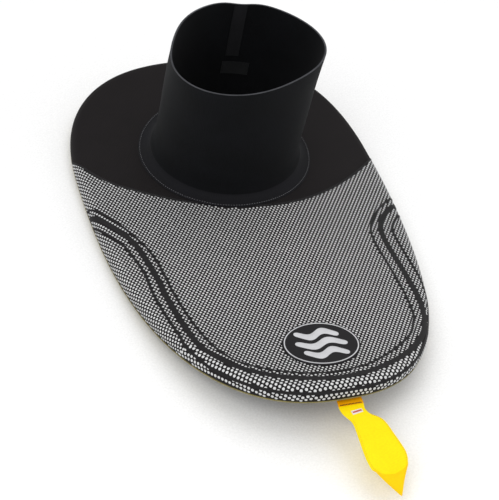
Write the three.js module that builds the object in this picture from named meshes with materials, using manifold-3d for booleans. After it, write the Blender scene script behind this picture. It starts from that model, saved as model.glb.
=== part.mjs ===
// Kayak spray skirt: an elasticated neoprene deck that stretches over a cockpit rim, a waist tube
// that stands up from it, and a grab tab under the bow for pulling the skirt off.
// Millimetres, +Z up, bow towards -Y, stern towards +Y. The skirt is built around the widest point
// of its deck and moved at the end, so that the origin is at the bottom centre of its bounds.

import * as THREE from 'three';
import * as BufferGeometryUtils from 'three/addons/utils/BufferGeometryUtils.js';
import Module from 'manifold-3d';

const wasm = await Module();
wasm.setup();

// ---- Driving dimensions -------------------------------------------------------------------------

const GAP = 0.3; // left between pieces that touch
const LAP_GAP = 0.6; // left between a curved panel and what is glued to its faceted surface

// Deck outline, seen from above: half a superellipse for the stern and half of one for the bow.
const HALF_BEAM = 260;
const STERN_REACH = 298; // widest point to the stern
const BOW_REACH = 568; // widest point to the bow
const STERN_POWER = 2.7;
const BOW_POWER_ACROSS = 2.45;
const BOW_POWER_ALONG = 2.3;
const OUTLINE_STATIONS = 64;

// Deck surface: a saddle whose sides droop and whose bow and stern rise.
const SHEET = 3.5; // neoprene thickness
const CROWN = 36;
const SIDE_DROOP = 12.6;
const END_RISE = 26; // at END_RISE_REACH from the saddle's lowest line
const END_RISE_REACH = 420;
const END_RISE_POWER = 2.5;
const SADDLE_Y = -34;
const LEVEL_REACH = 60; // stretch each side of the saddle line that stays level
const EDGE_SETTLE = 0.6; // the side edges lie level on the ground where they would sink this far

// Rolled edge, in section: the sheet turns down and under round EDGE_RADIUS.
const EDGE_RADIUS = 15;
const EDGE_ANGLES = [90, 60, 30, 0, -24, -48, -65, -82, -98, -108];
const EDGE_FACET = 24; // degrees, the widest step beside the cord's sleeve
const GUARD_ANGLES = [-24, -48, -65, -82, -98];
const GUARD_THICKNESS = 1.2;
const CORD_RADIUS = 4.5;
const CORD_ANGLE = -75; // where the cord lies, seen from the centre of the roll
const CORD_SIDES = 8;
const SLEEVE_THICKNESS = 1.5;
const SLEEVE_STEPS = 5;
const SLEEVE_FACET = 43; // degrees, no less than one step round the sleeve
const CRIMP_LENGTH = 14;
const CRIMP_THICKNESS = 0.9;
const CRIMP_BORE_GAP = 0.6;
const CHANNEL_RADIUS = CORD_RADIUS + CRIMP_BORE_GAP + CRIMP_THICKNESS + GAP; // the cord's hollow

// Waist tube: heights are above the deck's surface at the tube's centre.
const TUBE_Y = 37;
const TUBE_HEIGHT = 240;
const TUBE_LEAN = -37; // how far the rim stands towards the bow of the base
const TUBE_WALL = 3;
const NECK_RADIUS = 122.5;
const HOLE_RADIUS = NECK_RADIUS + 7.5;
const RIM_RADIUS = 128.5;
const RIM_OVAL = 10; // how far the slack rim is out of round
const RIM_OVAL_BEARING = 39.5; // degrees, where it is widest
const FLARE = 19; // added at the deck, fading upwards
const FLARE_FADE = 13;
const TUBE_STATIONS = 40;
const FLANGE_RADIUS = NECK_RADIUS + 26.5;
const FLANGE_TOP = 18;
const NECK_BAND_BOTTOM = 46;
const NECK_BAND_TOP = 52;
const WALL_BOTTOM = 76;
const BASE_TAPE_INNER = HOLE_RADIUS - 6;
const BASE_TAPE_OUTER = HOLE_RADIUS + 6.5;
const BASE_TAPE_THICKNESS = 1.2;
const BACK_TAPE_WIDTH = 22;
const BACK_TAPE_ANGLE = 76;
const BACK_TAPE_BOTTOM = 125;
const BACK_TAPE_THICKNESS = 1;
const SIZE_LABEL = { width: 46, height: 28, thickness: 0.8, angle: 72, bottom: 84 };

// Seam between the plain rear panel and the printed front panel: a parabola round the flange.
const SEAM_FRONT = FLANGE_RADIUS + 3; // forward of the tube's centre
const SEAM_APEX_X = 40; // the panels are a little askew
const SEAM_BEND_LEFT = 0.0017; // per mm
const SEAM_BEND_RIGHT = 0.00216;
const SEAM_TAPE_WIDTH = 16;
const SEAM_TAPE_THICKNESS = 1;
const SEAM_STEPS = 22;

// Oval badge on the bow.
const BADGE_FROM_BOW = 108;
const BADGE_Y = BADGE_FROM_BOW - BOW_REACH;
const BADGE_HALF_LENGTH = 52;
const BADGE_HALF_WIDTH = 59;
const BADGE_THICKNESS = 1.6;
const BADGE_RING_WIDTH = 2.6;
const BADGE_RING_INSET = 2;
const BADGE_RELIEF = 0.8;
const BADGE_LIFT = 1.1; // under the badge, over the facets of the deck
const BADGE_STATIONS = 36;
const WAVE_COUNT = 3;
const WAVE_PITCH = 22;
const WAVE_WIDTH = 9;
const WAVE_SWING = 5;
const WAVE_REACH = 34;

// Grab tab: half-widths along it, from the root fold to the tip.
const TAB_OUTLINE = [
  [0, 19], [14, 17.5], [28, 16.5], [36, 19], [52, 23.5], [80, 27.5], [108, 30], [128, 29.5],
  [142, 26], [156, 18], [170, 9.5], [180, 3],
];
const TAB_X = 10; // its root is a little to the right of the middle
const TAB_SKEW = 10; // degrees, the way the strap leads off to one side
const TAB_DROOP = 6; // degrees below level
const TAB_TIP_START = 138; // the tip bends down from here
const TAB_TIP_DROOP = 40;
const TAB_BEND = 16; // length over which it bends
const TAB_PLY = 1.1;
const TAB_CORE = 1.4;
const TAB_CORE_INSET = 4;
const TAB_CORE_START = 40;
const TAB_ROOT_OUT = 5; // root fold, outside the bow's edge
const TAB_START = 2.6; // the tab's layers start this far beyond the fold, so that they can turn
const STRAP_END = 0.8; // the strap stops this far short of the fold
const STRAP_LENGTH = 44;
const STRAP_THICKNESS = 2;
const STRAP_GAP = 0.5; // under the edge guard
const PATCH_WIDTH = 44;
const PATCH_LENGTH = 28;
const PATCH_THICKNESS = 1.2;
const TAB_LABEL = { start: 14, length: 7, halfWidth: 9, thickness: 0.6 };

const COLOURS = {
  neoprene: 0x1f1c1c, print: 0x77757a, tube: 0x15171a, flange: 0x26262b, cord: 0x2c2c2f,
  tape: 0x2a2a2d, guard: 0x8c8230, yellow: 0xffe600, core: 0xd8c79a, badge: 0x1b1b1d,
  mark: 0xc4c4c6, metal: 0xa8a8ac, label: 0xd9d9d6,
};

// ---- Shared geometry ----------------------------------------------------------------------------

const radians = THREE.MathUtils.degToRad;
const smooth = (value, low, high) => THREE.MathUtils.smoothstep(value, low, high);

/** Turns a list of equal closed sections into one closed body; a looped body has no end caps. */
function loft(sections, looped) {
  const size = sections[0].length;
  const positions = sections.flat().flatMap((point) => [point.x, point.y, point.z]);
  const indices = [];
  const spans = looped ? sections.length : sections.length - 1;
  for (let row = 0; row < spans; row += 1) {
    const here = row * size;
    const next = ((row + 1) % sections.length) * size;
    for (let column = 0; column < size; column += 1) {
      const beside = (column + 1) % size;
      indices.push(here + column, next + column, next + beside);
      indices.push(here + column, next + beside, here + beside);
    }
  }
  if (!looped) {
    indices.push(...capTriangles(sections[0], 0, false));
    indices.push(...capTriangles(sections.at(-1), (sections.length - 1) * size, true));
  }
  const geometry = new THREE.BufferGeometry();
  geometry.setAttribute('position', new THREE.Float32BufferAttribute(positions, 3));
  geometry.setIndex(indices);
  return outward(geometry);
}

/** Fills one end section with triangles, in the section's own plane. */
function capTriangles(section, offset, reversed) {
  const centre = new THREE.Vector3();
  section.forEach((point) => centre.addScaledVector(point, 1 / section.length));
  const normal = new THREE.Vector3();
  section.forEach((point, index) => {
    const next = section[(index + 1) % section.length];
    normal.add(point.clone().sub(centre).cross(next.clone().sub(centre)));
  });
  normal.normalize();
  const across = section[0].clone().sub(centre).normalize();
  across.addScaledVector(normal, -across.dot(normal)).normalize();
  const up = normal.clone().cross(across);
  const flat = section.map((point) => {
    const from = point.clone().sub(centre);
    return new THREE.Vector2(from.dot(across), from.dot(up));
  });
  const faces = THREE.ShapeUtils.triangulateShape(flat, []);
  return faces.flatMap(([a, b, c]) => {
    const clockwise = THREE.ShapeUtils.isClockWise([flat[a], flat[b], flat[c]]);
    const corners = clockwise === reversed ? [a, b, c] : [c, b, a];
    return corners.map((corner) => corner + offset);
  });
}

/** Signed volume of a closed mesh; negative when its faces point inwards. */
function signedVolume(geometry) {
  const position = geometry.getAttribute('position');
  const index = geometry.getIndex();
  const corners = [new THREE.Vector3(), new THREE.Vector3(), new THREE.Vector3()];
  let total = 0;
  for (let i = 0; i < index.count; i += 3) {
    corners.forEach((corner, k) => corner.fromBufferAttribute(position, index.getX(i + k)));
    total += corners[0].dot(corners[1].clone().cross(corners[2])) / 6;
  }
  return total;
}

/** Turns a closed mesh's faces outwards. */
function outward(geometry) {
  if (signedVolume(geometry) < 0) {
    geometry.setIndex(Array.from(geometry.getIndex().array).reverse());
  }
  return geometry;
}

function toManifold(geometry) {
  const bare = new THREE.BufferGeometry();
  bare.setAttribute('position', geometry.getAttribute('position').clone());
  bare.setIndex(geometry.getIndex());
  const merged = BufferGeometryUtils.mergeVertices(bare, 1e-4);
  return new wasm.Manifold(new wasm.Mesh({
    numProp: 3,
    vertProperties: new Float32Array(merged.getAttribute('position').array),
    triVerts: new Uint32Array(merged.getIndex().array),
  }));
}

function fromManifold(solid) {
  const mesh = solid.getMesh();
  const geometry = new THREE.BufferGeometry();
  geometry.setAttribute('position', new THREE.Float32BufferAttribute(mesh.vertProperties, 3));
  geometry.setIndex(Array.from(mesh.triVerts));
  return geometry;
}

const sprayDeck = new THREE.Group();

function addPiece(name, geometry, colour, roughness = 0.85, metalness = 0) {
  const material = new THREE.MeshStandardMaterial({ color: colour, roughness, metalness });
  geometry.computeVertexNormals();
  const mesh = new THREE.Mesh(geometry, material);
  mesh.name = name;
  sprayDeck.add(mesh);
}

// ---- Deck surface and outline -------------------------------------------------------------------

/** Height of the deck's upper face. */
function deckHeight(x, y) {
  const along = Math.max(0, Math.abs(y - SADDLE_Y) - LEVEL_REACH) / (END_RISE_REACH - LEVEL_REACH);
  return CROWN - SIDE_DROOP * (x / HALF_BEAM) ** 2 + END_RISE * along ** END_RISE_POWER;
}

/** The deck's outermost line, anticlockwise from the right-hand widest point. */
class DeckOutline extends THREE.Curve {
  getPoint(u) {
    const angle = u * 2 * Math.PI;
    const c = Math.cos(angle);
    const s = Math.sin(angle);
    const across = s >= 0 ? STERN_POWER : BOW_POWER_ACROSS;
    const along = s >= 0 ? STERN_POWER : BOW_POWER_ALONG;
    const reach = s >= 0 ? STERN_REACH : BOW_REACH;
    const x = HALF_BEAM * Math.sign(c) * Math.abs(c) ** (2 / across);
    const y = reach * Math.sign(s) * Math.abs(s) ** (2 / along);
    return new THREE.Vector3(x, y, 0);
  }
}

/** Evenly spaced stations on the outline, each with its outward direction; one is at the stern. */
function outlineStations(count) {
  const curve = new DeckOutline();
  curve.arcLengthDivisions = 4000;
  const offset = curve.getLengths()[1000] / curve.getLength(); // the stern is a quarter of the way
  return Array.from({ length: count }, (_, index) => {
    const at = (offset + index / count) % 1;
    const point = curve.getPointAt(at);
    const before = curve.getPointAt((at + 1 - 0.002) % 1);
    const after = curve.getPointAt((at + 0.002) % 1);
    const out = new THREE.Vector3(after.y - before.y, before.x - after.x, 0).normalize();
    return { point, out };
  });
}

const stations = outlineStations(OUTLINE_STATIONS);

/** Height of the sheet where it turns into the rolled edge: level along the sides. */
function edgeHeight(x, y) {
  const side = (HALF_BEAM - EDGE_RADIUS) / HALF_BEAM;
  return Math.max(deckHeight(x, y), CROWN - SIDE_DROOP * side ** 2 + EDGE_SETTLE);
}

/** A point of the rolled edge's section: radius and angle from the centre of the roll. */
function edgePoint(station, radius, angle) {
  const centre = station.point.clone().addScaledVector(station.out, -EDGE_RADIUS);
  const reach = radius * Math.cos(radians(angle));
  const point = centre.clone().addScaledVector(station.out, reach);
  point.z = edgeHeight(centre.x, centre.y) - EDGE_RADIUS + radius * Math.sin(radians(angle));
  return point;
}

/** Centre of the elastic cord in the rolled edge's section. */
const CORD_ORBIT = EDGE_RADIUS - SHEET - CHANNEL_RADIUS - 0.1;
const cordCentre = (station) => edgePoint(station, CORD_ORBIT, CORD_ANGLE);

/** A point round the cord: angle 0 faces the sheet. */
function roundCord(station, radius, angle) {
  const centre = cordCentre(station);
  const turned = radians(CORD_ANGLE + angle);
  const point = centre.addScaledVector(station.out, radius * Math.cos(turned));
  point.z += radius * Math.sin(turned);
  return point;
}

// ---- Deck panels --------------------------------------------------------------------------------

/** The whole deck, hole to rolled edge, as one sheet. */
function deckSheet() {
  const shares = [0, 0.12, 0.3, 0.5, 0.7, 0.86];
  const sections = stations.map((station) => {
    const edge = edgePoint(station, EDGE_RADIUS, EDGE_ANGLES[0]);
    const bearing = Math.atan2(edge.y - TUBE_Y, edge.x);
    const hole = new THREE.Vector3(Math.cos(bearing), Math.sin(bearing), 0);
    hole.multiplyScalar(HOLE_RADIUS).add(new THREE.Vector3(0, TUBE_Y, 0));
    const flat = (drop) => shares.map((share) => {
      const point = hole.clone().lerp(edge, share);
      point.z = deckHeight(point.x, point.y) - drop;
      return point;
    });
    const outer = EDGE_ANGLES.map((angle) => edgePoint(station, EDGE_RADIUS, angle));
    const inner = EDGE_ANGLES.map((angle) => edgePoint(station, EDGE_RADIUS - SHEET, angle));
    return [...flat(0), ...outer, ...inner.reverse(), ...flat(SHEET).reverse()];
  });
  return toManifold(loft(sections, true));
}

const seamBend = (x) => (x < SEAM_APEX_X ? SEAM_BEND_LEFT : SEAM_BEND_RIGHT);

/** The line on which the two panels meet. */
const seamY = (x) => TUBE_Y - SEAM_FRONT + seamBend(x) * (x - SEAM_APEX_X) ** 2;

/** Everything forward of the panel seam, set back from it by a margin. */
function forwardRegion(margin) {
  const reach = HALF_BEAM + 40;
  const outline = new THREE.Shape();
  outline.moveTo(-reach, -BOW_REACH - 40);
  outline.lineTo(reach, -BOW_REACH - 40);
  for (let step = 0; step <= SEAM_STEPS; step += 1) {
    const x = reach - (2 * reach * step) / SEAM_STEPS;
    outline.lineTo(x, seamY(x) - margin);
  }
  const geometry = new THREE.ExtrudeGeometry(outline, { depth: 400, bevelEnabled: false });
  geometry.translate(0, 0, -200);
  geometry.deleteAttribute('normal');
  geometry.deleteAttribute('uv');
  return toManifold(outward(BufferGeometryUtils.mergeVertices(geometry, 1e-4)));
}

function addDeckPanels() {
  const sheet = deckSheet();
  const rear = sheet.subtract(forwardRegion(0));
  const front = sheet.intersect(forwardRegion(GAP));
  addPiece('deck_rear_panel', fromManifold(rear), COLOURS.neoprene);
  addPiece('deck_front_panel', fromManifold(front), COLOURS.print);
}

/** Tape glued under the panel seam, from one rolled edge to the other. */
function addSeamTape() {
  const reach = HALF_BEAM - 2 * EDGE_RADIUS - 8;
  const sections = Array.from({ length: SEAM_STEPS + 1 }, (_, step) => {
    const x = -reach + (2 * reach * step) / SEAM_STEPS;
    const slope = 2 * seamBend(x) * (x - SEAM_APEX_X);
    const across = new THREE.Vector2(-slope, 1).normalize().multiplyScalar(SEAM_TAPE_WIDTH / 2);
    const corner = (side, drop) => {
      const px = x + side * across.x;
      const py = seamY(x) + side * across.y;
      return new THREE.Vector3(px, py, deckHeight(px, py) - SHEET - LAP_GAP - drop);
    };
    return [corner(1, 0), corner(-1, 0), corner(-1, SEAM_TAPE_THICKNESS), corner(1, SEAM_TAPE_THICKNESS)];
  });
  addPiece('panel_seam_tape', loft(sections, false), COLOURS.tape);
}

// ---- Rolled edge --------------------------------------------------------------------------------

function addEdgeGuard() {
  const inner = EDGE_RADIUS + GAP;
  const outer = inner + GUARD_THICKNESS;
  const sections = stations.map((station) => [
    ...GUARD_ANGLES.map((angle) => edgePoint(station, outer, angle)),
    ...[...GUARD_ANGLES].reverse().map((angle) => edgePoint(station, inner, angle)),
  ]);
  addPiece('edge_guard', loft(sections, true), COLOURS.guard, 0.7);
}

/** The elastic cord runs all the way round and its two ends meet in a crimp at the stern. */
function addElasticCord() {
  const ring = (station) => Array.from({ length: CORD_SIDES }, (_, side) =>
    roundCord(station, CORD_RADIUS, (360 * side) / CORD_SIDES));
  const shift = (section, along) => section.map((point) => point.clone().add(along));
  const first = ring(stations[0]);
  const half = new THREE.Vector3(GAP, 0, 0);
  const sections = [
    shift(first, half.clone().negate()), ...stations.slice(1).map(ring), shift(first, half),
  ];
  addPiece('elastic_cord', loft(sections, false), COLOURS.cord);
}

function addCordCrimp() {
  const inner = CORD_RADIUS + CRIMP_BORE_GAP;
  const outer = inner + CRIMP_THICKNESS;
  const half = CRIMP_LENGTH / 2;
  const profile = [[inner, -half], [outer, -half], [outer, half], [inner, half], [inner, -half]];
  const points = profile.map(([radius, along]) => new THREE.Vector2(radius, along));
  const geometry = new THREE.LatheGeometry(points, 20);
  geometry.deleteAttribute('normal');
  geometry.deleteAttribute('uv');
  geometry.rotateZ(Math.PI / 2);
  const centre = cordCentre(stations[0]);
  geometry.translate(centre.x, centre.y, centre.z);
  const merged = BufferGeometryUtils.mergeVertices(geometry, 1e-4);
  addPiece('cord_crimp', outward(merged), COLOURS.metal, 0.4, 0.9);
}

/** Tape folded round the cord and sewn to the sheet at both margins. */
function addCordSleeve() {
  const facet = Math.cos(radians(SLEEVE_FACET / 2));
  const inner = CHANNEL_RADIUS / facet;
  const outer = (CHANNEL_RADIUS + SLEEVE_THICKNESS) / facet;
  const reach = (EDGE_RADIUS - SHEET) * Math.cos(radians(EDGE_FACET / 2)) - GAP;
  const open = Math.acos((reach ** 2 - CORD_ORBIT ** 2 - outer ** 2) / (2 * CORD_ORBIT * outer));
  const start = THREE.MathUtils.radToDeg(open);
  const angles = Array.from({ length: SLEEVE_STEPS + 1 }, (_, step) =>
    start + ((360 - 2 * start) * step) / SLEEVE_STEPS);
  const sections = stations.map((station) => [
    ...angles.map((angle) => roundCord(station, outer, angle)),
    ...[...angles].reverse().map((angle) => roundCord(station, inner, angle)),
  ]);
  addPiece('cord_sleeve', loft(sections, true), COLOURS.tape);
}

// ---- Waist tube ---------------------------------------------------------------------------------

const tubeBase = deckHeight(0, TUBE_Y);

/** A point round the tube at a height above the deck; bearing 90 is the back. */
function tubePoint(radius, height, bearing) {
  const share = height / TUBE_HEIGHT;
  const reach = radius + RIM_OVAL * share * Math.cos(2 * radians(bearing - RIM_OVAL_BEARING));
  const x = reach * Math.cos(radians(bearing));
  const y = TUBE_Y + TUBE_LEAN * share + reach * Math.sin(radians(bearing));
  const follow = 1 - smooth(height, 0, FLANGE_TOP); // the foot of the tube follows the deck
  return new THREE.Vector3(x, y, tubeBase + height + follow * (deckHeight(x, y) - tubeBase));
}

function tubeRadius(height) {
  const taper = (RIM_RADIUS - NECK_RADIUS) * (height / TUBE_HEIGHT);
  return NECK_RADIUS + taper + FLARE * Math.exp(-height / FLARE_FADE);
}

const tubeBearings = Array.from({ length: TUBE_STATIONS }, (_, i) => (360 * i) / TUBE_STATIONS);

/** A ring of the tube from a section given as radius and height pairs. */
function tubeRing(section) {
  const sections = tubeBearings.map((bearing) =>
    section.map(([radius, height]) => tubePoint(radius, height, bearing)));
  return loft(sections, true);
}

/** A stretch of the tube's wall between two heights. */
function wallSection(bottom, top, steps) {
  const heights = Array.from({ length: steps + 1 }, (_, i) => bottom + ((top - bottom) * i) / steps);
  return [
    ...heights.map((height) => [tubeRadius(height), height]),
    ...[...heights].reverse().map((height) => [tubeRadius(height) - TUBE_WALL, height]),
  ];
}

function addTube() {
  const toe = FLANGE_RADIUS;
  const flange = [
    [toe, LAP_GAP], [toe, 2.8], [toe - 8, 3.4], [toe - 15, 6], [toe - 19.5, 11],
    [tubeRadius(FLANGE_TOP), FLANGE_TOP], [tubeRadius(FLANGE_TOP) - TUBE_WALL, FLANGE_TOP],
    [toe - 22.5, 9.5], [toe - 16.5, 3.2], [toe - 9, LAP_GAP],
  ];
  addPiece('tube_flange', tubeRing(flange), COLOURS.flange);
  const lower = wallSection(FLANGE_TOP + GAP, NECK_BAND_BOTTOM - GAP, 3);
  addPiece('tube_flex_lower', tubeRing(lower), COLOURS.tube);
  addPiece('neck_band', tubeRing(wallSection(NECK_BAND_BOTTOM, NECK_BAND_TOP, 1)), COLOURS.tube);
  const upper = wallSection(NECK_BAND_TOP + GAP, WALL_BOTTOM - GAP, 2);
  addPiece('tube_flex_upper', tubeRing(upper), COLOURS.tube);
  addPiece('tube_wall', tubeRing(wallSection(WALL_BOTTOM, TUBE_HEIGHT, 3)), COLOURS.tube);
}

/** Tape ring glued under the deck round the hole. */
function addBaseTape() {
  const top = -SHEET - LAP_GAP;
  const bottom = top - BASE_TAPE_THICKNESS;
  const sections = tubeBearings.map((bearing) =>
    [[BASE_TAPE_OUTER, top], [BASE_TAPE_OUTER, bottom], [BASE_TAPE_INNER, bottom], [BASE_TAPE_INNER, top]]
      .map(([radius, drop]) => {
        const x = radius * Math.cos(radians(bearing));
        const y = TUBE_Y + radius * Math.sin(radians(bearing));
        return new THREE.Vector3(x, y, deckHeight(x, y) + drop);
      }));
  addPiece('base_tape', loft(sections, true), COLOURS.tape);
}

/** A flat patch against the inside of the tube's wall, curved with it. */
function wallPatch(bearing, width, bottom, top, thickness, acrossSteps, upSteps) {
  const sections = Array.from({ length: upSteps + 1 }, (_, row) => {
    const height = bottom + ((top - bottom) * row) / upSteps;
    const outer = (tubeRadius(height) - TUBE_WALL) * Math.cos(Math.PI / TUBE_STATIONS) - GAP;
    const spread = (width / outer) * (180 / Math.PI);
    const bearings = Array.from({ length: acrossSteps + 1 }, (_unused, i) =>
      bearing + spread * (i / acrossSteps - 0.5));
    return [
      ...bearings.map((angle) => tubePoint(outer, height, angle)),
      ...[...bearings].reverse().map((angle) => tubePoint(outer - thickness, height, angle)),
    ];
  });
  return loft(sections, false);
}

function addTubeInside() {
  const seam = wallPatch(
    BACK_TAPE_ANGLE, BACK_TAPE_WIDTH, BACK_TAPE_BOTTOM, TUBE_HEIGHT - 3, BACK_TAPE_THICKNESS, 3, 3,
  );
  addPiece('back_seam_tape', seam, COLOURS.tape);
  const { width, height, thickness, angle, bottom } = SIZE_LABEL;
  const label = wallPatch(angle, width, bottom, bottom + height, thickness, 4, 1);
  addPiece('size_label', label, COLOURS.label);
}

// ---- Badge --------------------------------------------------------------------------------------

/** A point over the deck, in the badge's own plan directions. */
function badgePoint(across, along, lift) {
  const y = BADGE_Y + along;
  return new THREE.Vector3(across, y, deckHeight(across, y) + BADGE_LIFT + lift);
}

/** A closed oval ring between two insets from the badge's edge and two levels. */
function ovalRing(insetOuter, insetInner, bottom, top) {
  const at = (bearing, inset, lift) => badgePoint(
    (BADGE_HALF_WIDTH - inset) * Math.cos(bearing), (BADGE_HALF_LENGTH - inset) * Math.sin(bearing), lift,
  );
  const sections = Array.from({ length: BADGE_STATIONS }, (_, station) => {
    const bearing = (2 * Math.PI * station) / BADGE_STATIONS;
    return [
      at(bearing, insetOuter, bottom), at(bearing, insetOuter, top),
      at(bearing, insetInner, top), at(bearing, insetInner, bottom),
    ];
  });
  return loft(sections, true);
}

/** An oval plate laid over the deck, from rows of chords. */
function ovalPlate(bottom, top) {
  const rows = 10;
  const columns = 4;
  const sections = Array.from({ length: rows + 1 }, (_, row) => {
    const bearing = radians(-84 + (168 * row) / rows);
    const along = BADGE_HALF_LENGTH * Math.sin(bearing);
    const half = BADGE_HALF_WIDTH * Math.cos(bearing);
    const across = Array.from({ length: columns + 1 }, (_unused, i) => half * ((2 * i) / columns - 1));
    return [
      ...across.map((x) => badgePoint(x, along, bottom)),
      ...[...across].reverse().map((x) => badgePoint(x, along, top)),
    ];
  });
  return loft(sections, false);
}

/** One raised wavy bar, a plain water mark. */
function waveBar(along) {
  const steps = 12;
  const bottom = BADGE_THICKNESS + GAP;
  const top = bottom + BADGE_RELIEF;
  const sections = Array.from({ length: steps + 1 }, (_, step) => {
    const share = (2 * step) / steps - 1;
    const centre = along + WAVE_SWING * Math.sin(share * 1.5 * Math.PI);
    const half = (WAVE_WIDTH / 2) * Math.sqrt(Math.max(0.1, 1 - share ** 6));
    const x = share * WAVE_REACH;
    return [
      badgePoint(x, centre - half, bottom), badgePoint(x, centre + half, bottom),
      badgePoint(x, centre + half, top), badgePoint(x, centre - half, top),
    ];
  });
  return loft(sections, false);
}

function addBadge() {
  addPiece('badge_backing', ovalPlate(0, BADGE_THICKNESS), COLOURS.badge, 0.6);
  const base = BADGE_THICKNESS + GAP;
  const inset = BADGE_RING_INSET;
  const ring = ovalRing(inset, inset + BADGE_RING_WIDTH, base, base + BADGE_RELIEF);
  addPiece('badge_ring', ring, COLOURS.mark, 0.6);
  for (let bar = 0; bar < WAVE_COUNT; bar += 1) {
    const along = (bar - (WAVE_COUNT - 1) / 2) * WAVE_PITCH;
    addPiece(`badge_wave_${bar + 1}`, waveBar(along), COLOURS.mark, 0.6);
  }
}

// ---- Grab tab -----------------------------------------------------------------------------------

/** Lowest level of the edge guard at the bow, where the strap is sewn. */
const bowStation = { point: new THREE.Vector3(0, -BOW_REACH, 0), out: new THREE.Vector3(0, -1, 0) };
const strapTop = edgePoint(bowStation, EDGE_RADIUS + GAP + GUARD_THICKNESS, -90).z - STRAP_GAP;
const foldY = -BOW_REACH - TAB_ROOT_OUT;
const foldZ = strapTop - STRAP_THICKNESS / 2;

/** The tab's centre line: where it is and how steeply it falls, a distance along it. */
function tabLine(distance) {
  const point = new THREE.Vector3(TAB_X, foldY, foldZ);
  const steps = 60;
  const step = distance / steps;
  let droop = TAB_DROOP;
  for (let i = 0; i < steps; i += 1) {
    const at = (i + 0.5) * step;
    const bent = smooth(at, TAB_TIP_START - TAB_BEND / 2, TAB_TIP_START + TAB_BEND / 2);
    droop = TAB_DROOP + (TAB_TIP_DROOP - TAB_DROOP) * bent;
    point.x += step * Math.cos(radians(droop)) * Math.sin(radians(TAB_SKEW));
    point.y -= step * Math.cos(radians(droop)) * Math.cos(radians(TAB_SKEW));
    point.z -= step * Math.sin(radians(droop));
  }
  return { point, droop };
}

/** Half-width of the tab at a distance along it. */
function tabHalfWidth(distance) {
  const next = TAB_OUTLINE.findIndex(([along]) => along >= distance);
  const [highAt, highWidth] = TAB_OUTLINE[Math.max(next, 1)];
  const [lowAt, lowWidth] = TAB_OUTLINE[Math.max(next, 1) - 1];
  return lowWidth + ((highWidth - lowWidth) * (distance - lowAt)) / (highAt - lowAt);
}

/** How far round the tab's width has turned: its root edge is parallel to the fold. */
function tabTurn(distance) {
  return radians(TAB_SKEW) * smooth(distance, TAB_START, TAB_OUTLINE[1][0]);
}

/** A layer of the tab between two offsets from its centre line, inset from its edges. */
function tabLayer(start, end, inset, low, high) {
  const inside = TAB_OUTLINE.map(([along]) => along).filter((at) => at > start + 1 && at < end - 1);
  const sections = [start, ...inside, end].map((distance) => {
    const { point, droop } = tabLine(distance);
    const turn = tabTurn(distance);
    const across = new THREE.Vector3(Math.cos(turn), Math.sin(turn), 0);
    const fall = radians(droop);
    const up = new THREE.Vector3(
      Math.sin(fall) * Math.sin(turn), -Math.sin(fall) * Math.cos(turn), Math.cos(fall),
    );
    const half = Math.max(tabHalfWidth(distance) - inset, 1.5);
    const corner = (side, lift) => point.clone().addScaledVector(across, side * half)
      .addScaledVector(up, lift);
    return [corner(-1, low), corner(1, low), corner(1, high), corner(-1, high)];
  });
  return loft(sections, false);
}

function addTab() {
  const end = TAB_OUTLINE.at(-1)[0];
  const core = TAB_CORE / 2;
  const ply = core + GAP;
  const label = ply + TAB_PLY + GAP;
  addPiece('tab_upper_ply', tabLayer(TAB_START, end, 0, ply, ply + TAB_PLY), COLOURS.yellow, 0.45);
  addPiece('tab_lower_ply', tabLayer(TAB_START, end, 0, -ply - TAB_PLY, -ply), COLOURS.yellow, 0.45);
  const coreEnd = end - 2 * TAB_CORE_INSET;
  addPiece('tab_core', tabLayer(TAB_CORE_START, coreEnd, TAB_CORE_INSET, -core, core), COLOURS.core);
  addPiece('tab_label', labelPlate(label, label + TAB_LABEL.thickness), COLOURS.label, 0.5);
}

/** A small blank label on the tab's upper face. */
function labelPlate(low, high) {
  const { start, length, halfWidth } = TAB_LABEL;
  return tabLayer(start, start + length, tabHalfWidth(start) - halfWidth, low, high);
}

/** A flat strap sewn under the bow's edge, and the patch that covers its stitching. */
function addStrap() {
  const root = TAB_OUTLINE[0][1];
  const strap = new THREE.BoxGeometry(2 * root, STRAP_LENGTH, STRAP_THICKNESS);
  strap.translate(TAB_X, foldY + STRAP_END + STRAP_LENGTH / 2, foldZ);
  addPiece('tab_strap', strap, COLOURS.yellow, 0.45);
  const patch = new THREE.BoxGeometry(PATCH_WIDTH, PATCH_LENGTH, PATCH_THICKNESS);
  const patchTop = foldZ - STRAP_THICKNESS / 2 - GAP;
  patch.translate(TAB_X, -BOW_REACH + 3 + PATCH_LENGTH / 2, patchTop - PATCH_THICKNESS / 2);
  addPiece('strap_patch', patch, COLOURS.tape);
}

// ---- Assembly -----------------------------------------------------------------------------------

addDeckPanels();
addSeamTape();
addEdgeGuard();
addElasticCord();
addCordCrimp();
addCordSleeve();
addTube();
addBaseTape();
addTubeInside();
addBadge();
addTab();
addStrap();

// The origin goes to the bottom centre of the whole skirt.
const bounds = new THREE.Box3().setFromObject(sprayDeck);
const middle = bounds.getCenter(new THREE.Vector3());
sprayDeck.position.set(-middle.x, -middle.y, -bounds.min.z);

export default sprayDeck;
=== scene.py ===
"""Kayak spray skirt: its cloth, print, tapes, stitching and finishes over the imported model.

Sizes are in millimetres in the deck's own plan, whose origin is at the deck's widest point.
place() takes them to the row frame, in metres.
"""

from __future__ import annotations

import logging
from dataclasses import dataclass
from enum import Enum

import bmesh
import bpy
import numpy as np
from mathutils import Matrix, Vector


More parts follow.
